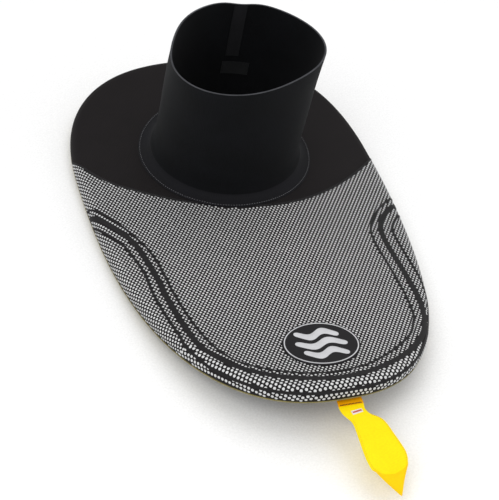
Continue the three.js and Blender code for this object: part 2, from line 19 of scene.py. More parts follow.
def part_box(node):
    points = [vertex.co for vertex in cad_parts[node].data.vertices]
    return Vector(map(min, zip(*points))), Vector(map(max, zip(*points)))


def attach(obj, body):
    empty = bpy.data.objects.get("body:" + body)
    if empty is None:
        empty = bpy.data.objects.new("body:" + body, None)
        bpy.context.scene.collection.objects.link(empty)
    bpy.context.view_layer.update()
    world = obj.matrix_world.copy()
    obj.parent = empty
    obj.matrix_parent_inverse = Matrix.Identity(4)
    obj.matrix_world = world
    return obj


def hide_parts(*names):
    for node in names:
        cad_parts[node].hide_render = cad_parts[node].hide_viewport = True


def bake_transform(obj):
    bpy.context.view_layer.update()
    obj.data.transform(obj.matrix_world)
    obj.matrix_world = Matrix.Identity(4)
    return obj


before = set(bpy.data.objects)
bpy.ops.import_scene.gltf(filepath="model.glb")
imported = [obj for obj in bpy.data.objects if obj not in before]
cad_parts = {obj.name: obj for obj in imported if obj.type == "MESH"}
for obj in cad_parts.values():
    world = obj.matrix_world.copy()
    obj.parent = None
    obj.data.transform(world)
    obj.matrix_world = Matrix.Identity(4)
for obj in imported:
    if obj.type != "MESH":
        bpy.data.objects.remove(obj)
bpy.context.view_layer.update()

LOG = logging.getLogger("spray_skirt")
MM = 0.001
MERGE = 2e-6  # metres within which points are one
DOT_TOP = 0.72  # a printed dot's top, as a share of its foot
SHARP_ANGLE = 0.7  # radians, past which an edge of a piece stays crisp
FINE_STEPS = 16001  # of the outline, before it is spaced evenly
CURVE_SAMPLES = 24  # of a smooth curve, between two of its points
CHUNK = 2000  # places that are compared with a path at a time


# ---- Shape of the deck and the tube ---------------------------------------------------------------


def smooth(value: np.ndarray | float, low: float, high: float) -> np.ndarray:
    """Smoothstep of value between low and high."""
    share = np.clip((np.asarray(value, float) - low) / (high - low), 0, 1)
    return share * share * (3 - 2 * share)


def nearest(places: np.ndarray, path: np.ndarray) -> tuple[np.ndarray, np.ndarray]:
    """Finds the point of a path that is nearest to each place.

    Args:
        places: n by 2 places.
        path: m by 2 points of the path.

    Returns:
        The nearest points' indices, and their distances.
    """
    index, apart = [], []
    for part in np.array_split(places, len(places) // CHUNK + 1):
        square = ((part[:, None] - path[None]) ** 2).sum(2)
        index.append(square.argmin(1))
        apart.append(np.sqrt(square.min(1)))
    return np.concatenate(index), np.concatenate(apart)


@dataclass(frozen=True)
class DeckForm:
    """The deck's surface: crowned sheet, rolled edge and the line where its panels meet."""

    half_beam: float = 260.0
    stern_reach: float = 298.0
    bow_reach: float = 568.0
    stern_power: float = 2.7
    bow_power_across: float = 2.45
    bow_power_along: float = 2.3
    crown: float = 36.0
    side_droop: float = 12.6
    end_rise: float = 26.0
    rise_start: float = 60.0
    rise_reach: float = 420.0
    rise_power: float = 2.5
    saddle: float = -34.0
    roll: float = 15.0
    settle: float = 0.6
    sheet: float = 3.5
    tube_y: float = 37.0
    seam_front: float = 152.0
    seam_apex: float = 40.0
    seam_bend_left: float = 0.0017
    seam_bend_right: float = 0.00216
    seam_rise: float = 0.0065
    seam_rise_from: float = 195.0
    seam_groove: float = 0.9
    groove_reach: float = 1.8
    ease: float = 0.5  # slack undulation of the cloth
    long_wave: tuple[float, float] = (71.0, 93.0)  # the undulation's spans, across and along
    short_wave: tuple[float, float] = (37.0, 49.0)
    edge_blend: float = 40.0  # the sheet eases into the edge's height over this distance
    table_size: int = 2600

    def height(self, x: np.ndarray, y: np.ndarray) -> np.ndarray:
        """Height of the plain crowned surface.

        Args:
            x: places across the deck.
            y: places along it.

        Returns:
            The heights.
        """
        along = np.maximum(0, np.abs(y - self.saddle) - self.rise_start)
        along = along / (self.rise_reach - self.rise_start)
        side = self.side_droop * (x / self.half_beam) ** 2
        return self.crown - side + self.end_rise * along**self.rise_power

    def seam_bend(self, x: np.ndarray) -> np.ndarray:
        """How strongly the seam bends, which differs from side to side."""
        return np.where(x < self.seam_apex, self.seam_bend_left, self.seam_bend_right)

    def seam(self, x: np.ndarray) -> np.ndarray:
        """The line on which the two panels meet."""
        rise = self.seam_rise * np.maximum(0, -x - self.seam_rise_from) ** 2
        return self.tube_y - self.seam_front + self.seam_bend(x) * (x - self.seam_apex) ** 2 + rise

    def relaxed(self, x: np.ndarray, y: np.ndarray) -> np.ndarray:
        """Height of the crowned surface with its faint undulation and the dip of the panel seam.

        Args:
            x: places across the deck.
            y: places along it.

        Returns:
            The heights.
        """
        (a, b), (c, d) = self.long_wave, self.short_wave
        wave = np.sin(x / a + 0.6) * np.sin(y / b - 0.4) + 0.5 * np.sin(x / c - y / d)
        slope = 2 * self.seam_bend(x) * (x - self.seam_apex)
        off = (y - self.seam(x)) / np.sqrt(1 + slope**2)
        groove = self.seam_groove * np.exp(-((off / self.groove_reach) ** 2))
        return self.height(x, y) + self.ease * wave - groove

    def outline(self, angle: np.ndarray) -> np.ndarray:
        """Outermost line of the deck.

        Args:
            angle: angles of its superellipse, anticlockwise from the right.

        Returns:
            n by 2 points.
        """
        c, s = np.cos(angle), np.sin(angle)
        across = np.where(s >= 0, self.stern_power, self.bow_power_across)
        along = np.where(s >= 0, self.stern_power, self.bow_power_along)
        reach = np.where(s >= 0, self.stern_reach, self.bow_reach)
        x = self.half_beam * np.sign(c) * np.abs(c) ** (2 / across)
        y = reach * np.sign(s) * np.abs(s) ** (2 / along)
        return np.stack([x, y], 1)

    def stations(self, count: int) -> tuple[np.ndarray, np.ndarray]:
        """Evenly spaced places round the start of the rolled edge.

        Args:
            count: how many.

        Returns:
            The points and their outward directions, in plan.
        """
        fine = self.outline(np.linspace(0, 2 * np.pi, FINE_STEPS) - np.pi / 2)
        step = np.linalg.norm(np.diff(fine, axis=0), axis=1)
        run = np.concatenate([[0], np.cumsum(step)])
        at = (np.arange(count) + 0.5) * run[-1] / count
        reach = 4.0
        point, before, after = (
            np.stack([np.interp((at + d) % run[-1], run, fine[:, k]) for k in (0, 1)], 1)
            for d in (0, -reach, reach)
        )
        turn = after - before
        out = np.stack([turn[:, 1], -turn[:, 0]], 1)
        out /= np.linalg.norm(out, axis=1)[:, None]
        return point - self.roll * out, out

    def edge_height(self, x: np.ndarray, y: np.ndarray) -> np.ndarray:
        """Height at which the sheet turns into the rolled edge, level along the sides."""
        side = (self.half_beam - self.roll) / self.half_beam
        return np.maximum(self.height(x, y), self.crown - self.side_droop * side**2 + self.settle)

    def lay(self, plan: np.ndarray, lift: np.ndarray | float = 0.0) -> np.ndarray:
        """Lays points of the flat cloth on the deck; past the start of the roll they go round it.

        Args:
            plan: n by 2 places on the flat cloth.
            lift: distance off the upper face, along its normal.

        Returns:
            n by 3 points in the deck's plan frame.
        """
        return self.lay_with_normals(plan, lift)[0]

    def lay_with_normals(
        self, plan: np.ndarray, lift: np.ndarray | float = 0.0
    ) -> tuple[np.ndarray, np.ndarray]:
        """As lay(), and also gives the surface's normals.

        Args:
            plan: n by 2 places on the flat cloth.
            lift: distance off the upper face, along its normal.

        Returns:
            n by 3 points in the deck's plan frame, and the unit normals there.
        """
        plan = np.asarray(plan, float)
        lift = np.broadcast_to(np.asarray(lift, float), len(plan))
        rim, out = _rim_table(self)
        index = nearest(plan, rim)[0]
        base, away = rim[index], out[index]
        past = ((plan - base) * away).sum(1)
        base = plan - past[:, None] * away  # keeps the place along the edge
        edge = self.edge_height(base[:, 0], base[:, 1])
        gap = edge - self.relaxed(base[:, 0], base[:, 1])

        def flat_height(p: np.ndarray) -> np.ndarray:
            """Height of the flat part, eased to the edge's height."""
            return self.relaxed(p[:, 0], p[:, 1]) + gap * smooth(past, -self.edge_blend, 0)

        d = 0.5
        steps = np.eye(2) * d
        slope = [(flat_height(plan + step) - flat_height(plan - step)) / (2 * d) for step in steps]
        normal = np.stack([-slope[0], -slope[1], np.ones(len(plan))], 1)
        normal /= np.linalg.norm(normal, axis=1)[:, None]
        flat = np.column_stack([plan, flat_height(plan)]) + normal * lift[:, None]
        turned = np.pi / 2 - past / self.roll
        away3 = np.column_stack([away, np.zeros(len(plan))])
        up = np.array([0, 0, 1.0])
        round_normal = np.cos(turned)[:, None] * away3 + np.sin(turned)[:, None] * up
        centre = np.column_stack([base, edge - self.roll])
        rolled = centre + (self.roll + lift)[:, None] * round_normal
        on_roll = (past > 0)[:, None]
        return np.where(on_roll, rolled, flat), np.where(on_roll, round_normal, normal)

    def past_edge(self, plan: np.ndarray) -> np.ndarray:
        """How far each place is past the start of the roll.

        Args:
            plan: n by 2 places on the flat cloth.

        Returns:
            The distances, negative inside.
        """
        rim, out = _rim_table(self)
        index = nearest(plan, rim)[0]
        return ((plan - rim[index]) * out[index]).sum(1)


_RIM: dict[DeckForm, tuple[np.ndarray, np.ndarray]] = {}


def _rim_table(form: DeckForm) -> tuple[np.ndarray, np.ndarray]:
    """The roll's start as a fine table, made once."""
    if form not in _RIM:
        _RIM[form] = form.stations(form.table_size)
    return _RIM[form]


@dataclass(frozen=True)
class TubeForm:
    """The waist tube: leaning, flared at its foot and slack at its rim."""

    deck: DeckForm
    height: float = 240.0
    lean: float = -37.0
    wall: float = 3.0
    neck: float = 122.5
    rim: float = 127.5
    flare: float = 19.0
    flare_fade: float = 13.0
    foot_top: float = 18.0
    toe: float = 149.0
    oval: float = 10.0
    oval_bearing: float = 39.5
    notch: float = 8.0
    notch_bearing: float = 76.0
    notch_spread: float = 11.0
    lobes: tuple[float, float] = (4.1, 4.8)  # the rim's third harmonic, in cosine and in sine
    lean_curve: float = 2.0
    ripple: float = 0.8  # faint folds of the standing cloth
    ripple_from: tuple[float, float] = (20.0, 70.0)
    ripple_spans: tuple[float, float] = (46.0, 58.0)

    def radius(self, height: np.ndarray | float) -> np.ndarray:
        """Outer radius of the wall.

        Args:
            height: heights above the deck.

        Returns:
            The radii.
        """
        height = np.asarray(height, float)
        taper = self.neck + (self.rim - self.neck) * height / self.height
        return taper + self.flare * np.exp(-height / self.flare_fade)

    def point(self, radius: np.ndarray, height: np.ndarray, bearing: np.ndarray) -> np.ndarray:
        """Points round the tube.

        Args:
            radius: distance from the tube's axis, before the cloth's slack.
            height: height above the deck.
            bearing: degrees round the axis; 90 is the back.

        Returns:
            The points, in the deck's plan frame.
        """
        given = (np.asarray(v, float) for v in (radius, height, bearing))
        radius, height, bearing = np.broadcast_arrays(*given)
        share = np.clip(height / self.height, 0, 1)
        turn = np.radians(bearing)
        cosine, sine = self.lobes
        slack = self.oval * share * np.cos(2 * (turn - np.radians(self.oval_bearing)))
        slack = slack + share**2 * (cosine * np.cos(3 * turn) - sine * np.sin(3 * turn))
        dent = ((bearing - self.notch_bearing) / self.notch_spread) ** 2
        slack = slack - self.notch * share**3 * np.exp(-dent)
        fold, rise = self.ripple_spans
        ripple = self.ripple * smooth(height, *self.ripple_from)
        slack = slack + ripple * np.sin(5 * turn + height / fold) * np.sin(height / rise + 1)
        reach = radius + slack
        x = reach * np.cos(turn)
        y = self.deck.tube_y + (self.lean + self.lean_curve * share) * share + reach * np.sin(turn)
        base = self.deck.height(np.zeros(1), np.array([self.deck.tube_y]))[0]
        follow = 1 - smooth(height, 0, self.foot_top)
        return np.stack([x, y, base + height + follow * (self.deck.relaxed(x, y) - base)], -1)


DECK = DeckForm()
TUBE = TubeForm(DECK)
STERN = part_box("deck_rear_panel")[1].y / MM
RIM_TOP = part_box("tube_wall")[1].z / MM
TUBE_BASE = float(DECK.height(np.zeros(1), np.array([DECK.tube_y]))[0])
ORIGIN = np.array([0.0, STERN - DECK.stern_reach, RIM_TOP - TUBE.height - TUBE_BASE])


def place(points: np.ndarray) -> np.ndarray:
    """Takes points of the deck's plan frame, in millimetres, to the row frame, in metres."""
    return (np.asarray(points, float) + ORIGIN) * MM


def from_frame(points: list[tuple[float, float]]) -> np.ndarray:
    """Takes plan points of the row frame, in millimetres, to the deck's plan frame."""
    return np.asarray(points, float) - ORIGIN[:2]


def rounded(path: np.ndarray, step: float) -> np.ndarray:
    """A smooth curve through points, sampled evenly.

    Args:
        path: the points it goes through.
        step: distance between samples.

    Returns:
        The samples.
    """
    path = np.asarray(path, float)
    padded = np.vstack([2 * path[0] - path[1], path, 2 * path[-1] - path[-2]])
    t = np.linspace(0, 1, CURVE_SAMPLES, endpoint=False)[:, None]
    parts = []
    for a, b, c, d in zip(padded[:-3], padded[1:-2], padded[2:-1], padded[3:]):
        square, cube = 2 * a - 5 * b + 4 * c - d, 3 * b - a - 3 * c + d
        parts.append(0.5 * (2 * b + (c - a) * t + square * t**2 + cube * t**3))
    curve = np.vstack([*parts, path[-1:]])
    run = np.concatenate([[0], np.cumsum(np.linalg.norm(np.diff(curve, axis=0), axis=1))])
    at = np.linspace(0, run[-1], max(2, round(run[-1] / step) + 1))
    return np.stack([np.interp(at, run, curve[:, k]) for k in range(curve.shape[1])], 1)


# ---- Finishes -------------------------------------------------------------------------------------

MATH = "ShaderNodeMath"
WAVE = "ShaderNodeTexWave"
NOISE = "ShaderNodeTexNoise"
MAP_RANGE = "ShaderNodeMapRange"
MAPPING = "ShaderNodeMapping"
MIX = "ShaderNodeMix"
MULTIPLY = {"operation": "MULTIPLY"}
MULTIPLY_ADD = {"operation": "MULTIPLY_ADD"}
DIVIDE = {"operation": "DIVIDE"}
ACROSS = {"bands_direction": "X"}
ALONG = {"bands_direction": "Y"}
SLANTING = {"bands_direction": "DIAGONAL"}
PATCHES = (0.35, 0.7)  # the share of a broad noise that turns one colour into the other
GLOSS_SWING = 0.06
PAINTED_HOLLOW_SHADE, PAINTED_CREST_HIGHLIGHT = 0.62, 1.12  # painted shade in the pattern's hollows and painted highlight on its crests, as factors on the colour


def linear(code: str) -> tuple[float, float, float, float]:
    """Turns an sRGB hex colour into linear values."""
    channels = [int(code[i : i + 2], 16) / 255 for i in (0, 2, 4)]
    return (*(c / 12.92 if c <= 0.04045 else ((c + 0.055) / 1.055) ** 2.4 for c in channels), 1.0)


class Surface(Enum):
    """How a finish's surface was made."""

    KNIT = "knitted face"
    WOVEN = "woven"
    MOULDED = "moulded or printed rubber"
    COATED = "cloth under a smooth coating"
    FOAM = "cut foam"
    METAL = "pressed metal"


class Grain(Enum):
    """What a pattern follows."""

    OBJECT = "Object"
    CLOTH = "UV"


@dataclass(frozen=True)
class Finish:
    """One material: its colours, its gloss and the pattern of its surface."""

    name: str
    surface: Surface
    colour: str
    worn: str  # the colour that it varies to
    roughness: float
    grain: Grain = Grain.OBJECT
    pitch: float = 1.2  # millimetres between threads, ribs or grains
    depth: float = 0.12  # millimetres of relief
    patch: float = 60.0  # millimetres across patches of variation
    sheen: float = 0.0
    coat: float = 0.0
    gleam: float = 0.5  # how much of the plain reflection the surface keeps
    ior: float = 1.5

    def material(self) -> bpy.types.Material:
        """Makes the Blender material, once.

        Returns:
            The material.
        """
        made = bpy.data.materials.get(self.name)
        if made:
            return made
        made = bpy.data.materials.new(self.name)
        made.use_nodes = True
        tree = made.node_tree
        tree.nodes.clear()
        where = add(tree, "ShaderNodeTexCoord").outputs[self.grain.value]
        size = 1 / (self.pitch * MM)
        fine = add(tree, MAPPING, Vector=where, Scale=(size, size, size)).outputs["Vector"]
        broad = add(tree, NOISE, Vector=where, Scale=1 / (self.patch * MM), Detail=4.0, Roughness=0.6)
        relief = self._relief(tree, fine)
        share = add(tree, MAP_RANGE, None, broad.outputs["Fac"], *PATCHES).outputs[0]
        mixed = add(tree, MIX, {"data_type": "RGBA"}, Factor=share, A=linear(self.colour),
                    B=linear(self.worn))
        # Painted shade in the pattern's hollows and painted highlight on its crests, multiplied into the
        # colour.
        shade = add(tree, MAP_RANGE, None, relief, 0.0, 1.0, PAINTED_HOLLOW_SHADE, PAINTED_CREST_HIGHLIGHT).outputs[0]
        threads = add(tree, MIX, {"data_type": "RGBA", "blend_type": "MULTIPLY"}, Factor=0.55,
                      A=mixed.outputs["Result"], B=shade)
        gloss = add(tree, MAP_RANGE, None, broad.outputs["Fac"], 0.3, 0.7,
                    self.roughness - GLOSS_SWING, self.roughness + GLOSS_SWING)
        bump = add(tree, "ShaderNodeBump", Height=relief, Distance=self.depth * MM, Strength=0.8)
        shader = add(tree, "ShaderNodeBsdfPrincipled", **{
            "Base Color": threads.outputs["Result"],
            "Roughness": gloss.outputs[0],
            "Normal": bump.outputs["Normal"],
            "Metallic": 1.0 if self.surface is Surface.METAL else 0.0,
            "IOR": self.ior,
            "Sheen Weight": self.sheen,
            "Sheen Roughness": 0.5,
            "Specular IOR Level": self.gleam,
            "Coat Weight": self.coat,
            "Coat Roughness": 0.3,
        })
        add(tree, "ShaderNodeOutputMaterial", Surface=shader.outputs["BSDF"])
        return made

    def _relief(self, tree: bpy.types.NodeTree, fine: bpy.types.NodeSocket) -> bpy.types.NodeSocket:
        """Adds the surface's pattern.

        Args:
            tree: the material's tree.
            fine: coordinates in which one thread, rib or grain is one unit.

        Returns:
            The pattern's height, from 0 to 1.
        """
        if self.surface is Surface.KNIT:  # columns of small loops, each leaning to its side
            wales = add(tree, WAVE, ACROSS, Vector=fine, Scale=0.159, Distortion=0.6, **{"Detail Scale": 2.0})
            courses = add(tree, WAVE, ALONG, Vector=fine, Scale=0.2, Distortion=0.5)
            raised = add(tree, MATH, MULTIPLY_ADD, courses.outputs["Fac"], 0.6, 0.4).outputs[0]
            return add(tree, MATH, MULTIPLY, wales.outputs["Fac"], raised).outputs[0]
        if self.surface is Surface.WOVEN:  # over and under threads
            checks = add(tree, "ShaderNodeTexChecker", Vector=fine, Scale=1.0).outputs["Fac"]
            warp = add(tree, WAVE, ACROSS, Vector=fine, Scale=0.318).outputs["Fac"]
            weft = add(tree, WAVE, ALONG, Vector=fine, Scale=0.318).outputs["Fac"]
            return add(tree, MIX, Factor=checks, A=warp, B=weft).outputs["Result"]
        if self.surface is Surface.FOAM:  # closed cells cut through
            return add(tree, "ShaderNodeTexVoronoi", Vector=fine, Scale=1.0).outputs["Distance"]
        if self.surface is Surface.METAL:  # drawn lines
            lines = add(tree, MAPPING, Vector=fine, Scale=(1.0, 0.05, 1.0)).outputs["Vector"]
            return add(tree, NOISE, Vector=lines, Scale=1.0, Detail=3.0).outputs["Fac"]
        if self.surface is Surface.COATED:  # the base cloth just shows through
            cloth = add(tree, WAVE, SLANTING, Vector=fine, Scale=0.3, Distortion=1.5).outputs["Fac"]
            grain = add(tree, NOISE, Vector=fine, Scale=0.4, Detail=4.0).outputs["Fac"]
            dulled = add(tree, MATH, MULTIPLY, grain, 0.65).outputs[0]
            return add(tree, MATH, MULTIPLY_ADD, cloth, 0.35, dulled).outputs[0]
        return add(tree, NOISE, Vector=fine, Scale=1.0, Detail=5.0, Roughness=0.6).outputs["Fac"]


def add(
    tree: bpy.types.NodeTree, kind: str, settings: dict | None = None, *numbered: object, **named: object
) -> bpy.types.Node:
    """Adds a node with its settings and links.

    Args:
        tree: the tree it goes in.
        kind: its Blender type.
        settings: its own properties.
        numbered: values of its first inputs in turn, or the sockets that they are linked from.
        named: the same for inputs that are given by name.

    Returns:
        The node.
    """
    node = tree.nodes.new(kind)
    for key, value in (settings or {}).items():
        setattr(node, key, value)
    chosen = [*zip(node.inputs, numbered)]
    for key, value in named.items():
        in_use = [socket for socket in node.inputs if socket.name == key and socket.enabled]
        chosen.append((in_use[0] if in_use else node.inputs[key], value))
    for socket, value in chosen:
        if isinstance(value, bpy.types.NodeSocket):
            tree.links.new(value, socket)
        else:
            socket.default_value = value
    return node


# Real jersey has wales 0.4 mm apart; 1.4 mm is the finest that shows at arm's length.
JERSEY = Finish("neoprene_jersey_black", Surface.KNIT, "171415", "1d1a1b", 0.82,
                pitch=1.4, sheen=0.03, gleam=0.1)
# The printed panel's ground is the same jersey, a little greyer where ink has soaked in.
PRINT_GROUND = Finish("neoprene_jersey_print_ground", Surface.KNIT, "1a1819", "242223", 0.8,
                      pitch=1.4, sheen=0.02, gleam=0.1)
# The tube's softer, denser jersey swallows more light.
TUBE_JERSEY = Finish("neoprene_jersey_tube", Surface.KNIT, "0d0e10", "121316", 0.85, Grain.CLOTH,
                     pitch=1.4, sheen=0.02, gleam=0.08)
# The flange is stretched over the deck, so its face is smoother and gleams a little more; its lighter colour
# is painted highlight where the flare faces the light.
FLANGE_JERSEY_PAINTED_HIGHLIGHT = Finish("neoprene_jersey_flange_painted_highlight", Surface.KNIT, "141417", "19191d", 0.8, Grain.CLOTH,
                       pitch=1.4, sheen=0.03, gleam=0.12)
# Foam rubber where a knife has cut it: greyer than the jersey, with closed cells.
CUT_FOAM = Finish("neoprene_foam_cut_edge", Surface.FOAM, "3a3b3e", "4a4b4f", 0.9,
                  pitch=0.9, depth=0.2, patch=25, gleam=0.2)
# Raised silicone print: satin, slightly uneven in whiteness from dot to dot.
GRIP_PRINT = Finish("silicone_grip_print", Surface.MOULDED, "c6c7c8", "d8d8d8", 0.55,
                    pitch=2.5, depth=0.05, patch=5, gleam=0.25)
# The lines of the print: thick black ink, smoother than the cloth.
LINE_PRINT = Finish("silicone_line_print", Surface.MOULDED, "1b1a1b", "222122", 0.6,
                    pitch=2.5, depth=0.05, patch=30, gleam=0.15)
# Heat-set tape: fine flat weave under glue. Its threads are drawn three times as coarse as life.
TAPE = Finish("seam_tape_nylon", Surface.WOVEN, "1a1a1c", "232326", 0.65, Grain.CLOTH,
              pitch=1.3, depth=0.1, gleam=0.15)
# Aramid yarn keeps its own olive gold, with a dry sheen.
ARAMID = Finish("aramid_woven_olive", Surface.WOVEN, "8f8340", "6f6630", 0.7, Grain.CLOTH,
                pitch=1.8, depth=0.3, patch=20, sheen=0.2)
# Braided polyester jacket of the elastic cord.
BRAID = Finish("shock_cord_braid", Surface.WOVEN, "202023", "2b2b2f", 0.7, Grain.CLOTH,
               pitch=1.6, depth=0.35)
# Pressed stainless ring, drawn lines along it.
CRIMP_STEEL = Finish("stainless_steel_pressed", Surface.METAL, "b8b8bb", "9c9ca0", 0.32,
                     pitch=0.6, depth=0.02, patch=8)
# Damask label, black on black inside the tube.
LABEL_DARK = Finish("damask_label_black", Surface.WOVEN, "141517", "1b1c1f", 0.5, Grain.CLOTH,
                    pitch=1.0, depth=0.08, gleam=0.2)
# Satin care label, off-white, with a red band across it.
LABEL_PALE = Finish("satin_label_white", Surface.WOVEN, "e9e4dc", "d6cfc4", 0.45, Grain.CLOTH,
                    pitch=0.8, depth=0.05, patch=12)
LABEL_RED = Finish("satin_label_red_band", Surface.WOVEN, "c9504a", "b5443e", 0.45, Grain.CLOTH,
                   pitch=0.8, depth=0.05, patch=12)
# Moulded rubber badge, fine mould grain.
BADGE_RUBBER = Finish("badge_rubber_moulded", Surface.MOULDED, "19181a", "201f21", 0.62,
                      pitch=0.9, depth=0.05, patch=20, gleam=0.15)
BADGE_MARK = Finish("badge_mark_rubber_grey", Surface.MOULDED, "c0c0c3", "cbcbce", 0.6,
                    pitch=0.9, depth=0.05, patch=20, gleam=0.25)
# Polyurethane-coated nylon: strong yellow, semi-matt, base cloth faintly showing.
YELLOW = Finish("coated_nylon_yellow", Surface.COATED, "ffe200", "ffdc00", 0.5, Grain.CLOTH,
                pitch=1.2, depth=0.08, patch=30, gleam=0.12)
# The strap at the root is the same coated cloth, drawn orange as painted shadow under the bow's rim.
YELLOW_PAINTED_ROOT_SHADOW = Finish("coated_nylon_yellow_painted_root_shadow", Surface.COATED, "ffae00", "ffb600", 0.5, Grain.CLOTH,
                     pitch=1.2, depth=0.08, patch=30, gleam=0.12)
# Past the crease the same cloth is drawn darker, as painted shade where the tip faces away from the light.
YELLOW_PAINTED_TIP_SHADE = Finish("coated_nylon_yellow_painted_tip_shade", Surface.COATED, "ffd000", "ffca00", 0.5, Grain.CLOTH,
                    pitch=1.2, depth=0.08, patch=30, gleam=0.12)
# Cut sheet foam inside the tab: tan, with open pores at its edges.
STIFFENER = Finish("stiffener_foam_sheet", Surface.FOAM, "b9a565", "a8945a", 0.9, pitch=1.5, depth=0.2)
# Bonded polyester threads: a low gloss on the grey and yellow, none on the black.
THREAD_GREY = Finish("thread_polyester_grey", Surface.WOVEN, "6a6a6d", "7a7a7e", 0.6,
                     pitch=0.5, depth=0.05, patch=3)
THREAD_BLACK = Finish("thread_polyester_black", Surface.WOVEN, "1d1d1f", "28282b", 0.6,
                      pitch=0.5, depth=0.05, patch=3, gleam=0.15)
THREAD_YELLOW = Finish("thread_polyester_yellow", Surface.WOVEN, "d9a800", "c79a00", 0.6,
                       pitch=0.5, depth=0.05, patch=3)


# ---- Meshes ---------------------------------------------------------------------------------------


def link(name: str, mesh: bpy.types.Mesh) -> bpy.types.Object:
    """Puts a mesh into the scene.

    Args:
        name: the object's name.
        mesh: its mesh.

    Returns:
        The object.
    """
    made = bpy.data.objects.new(name, mesh)
    bpy.context.scene.collection.objects.link(made)
    return made


def loft(
    name: str, sections: np.ndarray, looped: bool, finish: Finish, sharp: float = SHARP_ANGLE
) -> bpy.types.Object:
    """A closed solid through closed sections.

    Args:
        name: the piece's name.
        sections: stations by points by 3, in the deck's plan frame.
        looped: whether the last section joins the first; if not, both ends are capped.
        finish: its material.
        sharp: the angle past which its edges are crisp.

    Returns:
        The object, with a UV map in metres of cloth.
    """
    sections = np.asarray(sections, float)
    rows, columns = sections.shape[:2]
    points = place(sections.reshape(-1, 3))
    solid = points.reshape(rows, columns, 3)
    along = np.linalg.norm(np.diff(np.concatenate([solid, solid[:1]]), axis=0), axis=2).mean(1)
    around = np.linalg.norm(np.diff(np.concatenate([solid, solid[:, :1]], 1), axis=1), axis=2).mean(0)
    u, v = (np.concatenate([[0], np.cumsum(run)]) for run in (along, around))
    faces, uvs = [], []
    for i in range(rows if looped else rows - 1):
        k = (i + 1) % rows
        for j in range(columns):
            m = (j + 1) % columns
            faces.append((i * columns + j, i * columns + m, k * columns + m, k * columns + j))
            uvs.extend(((u[i], v[j]), (u[i], v[j + 1]), (u[i + 1], v[j + 1]), (u[i + 1], v[j])))
    if not looped:
        for ring in (list(range(columns))[::-1], [(rows - 1) * columns + j for j in range(columns)]):
            faces.append(tuple(ring))
            uvs.extend((v[r % columns], u[r // columns]) for r in ring)
    volume = sum_volume(points, faces)
    mesh = bpy.data.meshes.new(name)
    mesh.from_pydata(points.tolist(), [], faces)
    layer = mesh.uv_layers.new(name="cloth")
    layer.data.foreach_set("uv", np.array(uvs, np.float32).ravel())
    tidy(mesh, volume < 0, sharp)
    mesh.materials.append(finish.material())
    return link(name, mesh)


def sum_volume(points: np.ndarray, faces: list[tuple[int, ...]]) -> float:
    """Adds up the volume that a closed set of faces holds.

    Args:
        points: the corners' places.
        faces: each face's corners, in turn.

    Returns:
        Six times the volume, below zero if the faces point inwards.
    """
    total = 0.0
    quads = np.array([f for f in faces if len(f) == 4])
    if len(quads):
        for a, b, c in ((0, 1, 2), (0, 2, 3)):
            normals = np.cross(points[quads[:, b]], points[quads[:, c]])
            total += np.einsum("ij,ij->", points[quads[:, a]], normals)
    for f in (f for f in faces if len(f) != 4):
        for b, c in zip(f[1:-1], f[2:]):
            total += float(points[f[0]] @ np.cross(points[b], points[c]))
    return total


def tidy(mesh: bpy.types.Mesh, inside_out: bool, sharp: float) -> None:
    """Merges points that coincide, turns the faces out and marks crisp edges.

    Args:
        mesh: the mesh, which it changes.
        inside_out: whether its faces point inwards.
        sharp: the angle past which an edge is crisp.
    """
    work = bmesh.new()
    work.from_mesh(mesh)
    bmesh.ops.remove_doubles(work, verts=work.verts, dist=MERGE)
    bmesh.ops.dissolve_degenerate(work, edges=work.edges, dist=MERGE / 20)
    bmesh.ops.dissolve_degenerate(work, edges=work.edges, dist=1e-7)
    if inside_out:
        bmesh.ops.reverse_faces(work, faces=work.faces)
    for face in work.faces:
        face.smooth = True
    for edge in work.edges:
        edge.smooth = not (len(edge.link_faces) == 2 and edge.calc_face_angle(0) > sharp)
    work.to_mesh(mesh)
    work.free()


class Repeat(Enum):
    """What a Geometry Nodes tree repeats."""

    STITCH = "stitch along a line"
    DOT = "dot on each point"


